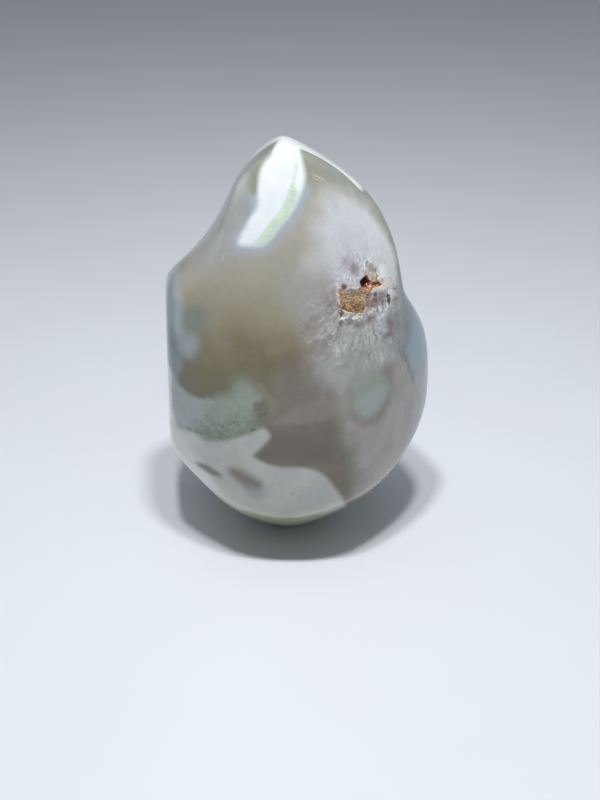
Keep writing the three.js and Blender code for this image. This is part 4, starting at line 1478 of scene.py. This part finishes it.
def add_lamp(name, place, aim, size, power):
    lamp = bpy.data.lights.new(name, "AREA")
    lamp.shape = "RECTANGLE"
    lamp.size, lamp.size_y = size
    lamp.energy = power
    obj = object_from_mesh(name, lamp)
    obj.location = place
    obj.rotation_euler = (Vector(place) - Vector(aim)).to_track_quat("Z", "Y").to_euler()
    return obj


def build_stage(settings):
    """The floor, the lamps and the light from all round."""
    mesh = bpy.data.meshes.new("floor")
    r = FLOOR_REACH
    mesh.from_pydata([(-r, -r, 0), (r, -r, 0), (r, r, 0), (-r, r, 0)], [], [(0, 1, 2, 3)])
    mesh.materials.append(pale_floor(settings))
    floor = object_from_mesh("floor", mesh)
    floor.location.z = -FLOOR_DROP
    for name, side in (("left_lamp", -1), ("right_lamp", 1)):
        place = (side * LAMP_SPREAD, LAMP_FORWARD, LAMP_HEIGHT)
        add_lamp(name, place, LAMPS_AIM, LAMP_SIZE, settings.lamp_power)
    add_lamp("soft_overhead", SOFT_PLACE, LAMPS_AIM, SOFT_SIZE, settings.soft_power)
    world = bpy.data.worlds.new("studio")
    world.use_nodes = True
    sky = Wiring(world.node_tree)
    world.node_tree.nodes.clear()
    background = sky.add("ShaderNodeBackground", {"Color": tone(SKY_TONE), "Strength": settings.fill})
    sky.feed(sky.add("ShaderNodeOutputWorld").inputs["Surface"], background.outputs[0])
    bpy.context.scene.world = world
    bpy.context.scene.view_settings.view_transform = "Standard"


def build_camera():
    """The camera at the photograph's place and angle."""
    data = bpy.data.cameras.new("camera")
    data.lens = CAMERA_LENS
    data.sensor_width = CAMERA_SENSOR
    data.clip_start = 0.01
    camera = object_from_mesh("camera", data)
    camera.location = CAMERA_PLACE
    camera.rotation_euler = (math.radians(90 - CAMERA_LOOKS_DOWN), 0, 0)
    bpy.context.scene.camera = camera


class StoneSettings(PropertyGroup):
    polish_roughness: FloatProperty(
        name="Polish", description="Roughness of the polished faces", default=0.1, min=0, max=1,
        subtype="FACTOR",
    )
    grain_relief: FloatProperty(
        name="Grain relief", description="Height of the grains where the stone is broken",
        default=0.15 * MM, min=0, unit="LENGTH", subtype="DISTANCE",
    )
    glow: FloatProperty(
        name="Glow", description="How much light passes under the surface", default=0.4, min=0, max=1,
        subtype="FACTOR",
    )
    glow_depth: FloatProperty(
        name="Glow depth", description="How far light passes under the surface", default=2.0 * MM, min=0,
        unit="LENGTH", subtype="DISTANCE",
    )


class CrystalSettings(PropertyGroup):
    golden: FloatVectorProperty(
        name="Golden stain", description="Tone of the lighter crystals", subtype="COLOR",
        default=tone("e6bd7c"), min=0, max=1,
    )
    brown: FloatVectorProperty(
        name="Brown stain", description="Tone of the darker crystals", subtype="COLOR",
        default=tone("b98746"), min=0, max=1,
    )
    points_per_mm2: FloatProperty(
        name="Points per mm2", description="How many points stand on each square millimetre",
        default=26.0, min=0,
    )
    point_length: FloatProperty(
        name="Point length", description="Length of a point", default=0.24 * MM, min=0, subtype="DISTANCE",
        unit="LENGTH",
    )
    point_width: FloatProperty(
        name="Point width", description="Width of a point", default=0.26 * MM, min=0, subtype="DISTANCE",
        unit="LENGTH",
    )
    seed: IntProperty(name="Seed", description="Changes how the points are strewn", default=4)


class StageSettings(PropertyGroup):
    floor_colour: FloatVectorProperty(
        name="Floor", description="Tone of the floor", subtype="COLOR",
        default=tone("e6ebf1"), min=0, max=1,
    )
    lamp_power: FloatProperty(
        name="Lamp power", description="Power of each of the two lamps", default=0.7, min=0, unit="POWER"
    )
    soft_power: FloatProperty(
        name="Soft power", description="Power of the wide soft lamp", default=0.6, min=0, unit="POWER"
    )
    fill: FloatProperty(
        name="Fill", description="Strength of the light from all round", default=0.24, min=0
    )


class AGATE_OT_polished_stone(Operator):
    """Builds the polished stone with its patches of colour"""

    bl_idname = "agate.polished_stone"
    bl_label = "Polished stone"

    def execute(self, context):
        build_stone(context.scene.agate_stone)
        return {"FINISHED"}


class AGATE_OT_vug_crystals(Operator):
    """Builds the crust of crystals in the vug"""

    bl_idname = "agate.vug_crystals"
    bl_label = "Vug crystals"

    def execute(self, context):
        build_crystals(context.scene.agate_crystals)
        return {"FINISHED"}


class AGATE_OT_stage(Operator):
    """Builds the floor, the lamps and the camera"""

    bl_idname = "agate.stage"
    bl_label = "Stage"

    def execute(self, context):
        build_stage(context.scene.agate_stage)
        build_camera()
        return {"FINISHED"}


class AGATE_PT_freeform(Panel):
    bl_label = "Agate freeform"
    bl_idname = "AGATE_PT_freeform"
    bl_space_type = "VIEW_3D"
    bl_region_type = "UI"
    bl_category = "Agate"

    def draw(self, context):
        scene = context.scene
        for settings, operator in (
            (scene.agate_stone, "agate.polished_stone"),
            (scene.agate_crystals, "agate.vug_crystals"),
            (scene.agate_stage, "agate.stage"),
        ):
            box = self.layout.box()
            for name in settings.__annotations__:
                box.prop(settings, name)
            box.operator(operator)


CLASSES = (
    StoneSettings,
    CrystalSettings,
    StageSettings,
    AGATE_OT_polished_stone,
    AGATE_OT_vug_crystals,
    AGATE_OT_stage,
    AGATE_PT_freeform,
)
SETTINGS = {"agate_stone": StoneSettings, "agate_crystals": CrystalSettings, "agate_stage": StageSettings}


def register():
    for cls in CLASSES:
        bpy.utils.register_class(cls)
    for name, cls in SETTINGS.items():
        setattr(bpy.types.Scene, name, PointerProperty(type=cls))


def unregister():
    for name in SETTINGS:
        delattr(bpy.types.Scene, name)
    for cls in reversed(CLASSES):
        bpy.utils.unregister_class(cls)


def main():
    register()
    bpy.ops.agate.polished_stone()
    bpy.ops.agate.vug_crystals()
    bpy.ops.agate.stage()


if __name__ == "__main__":
    main()
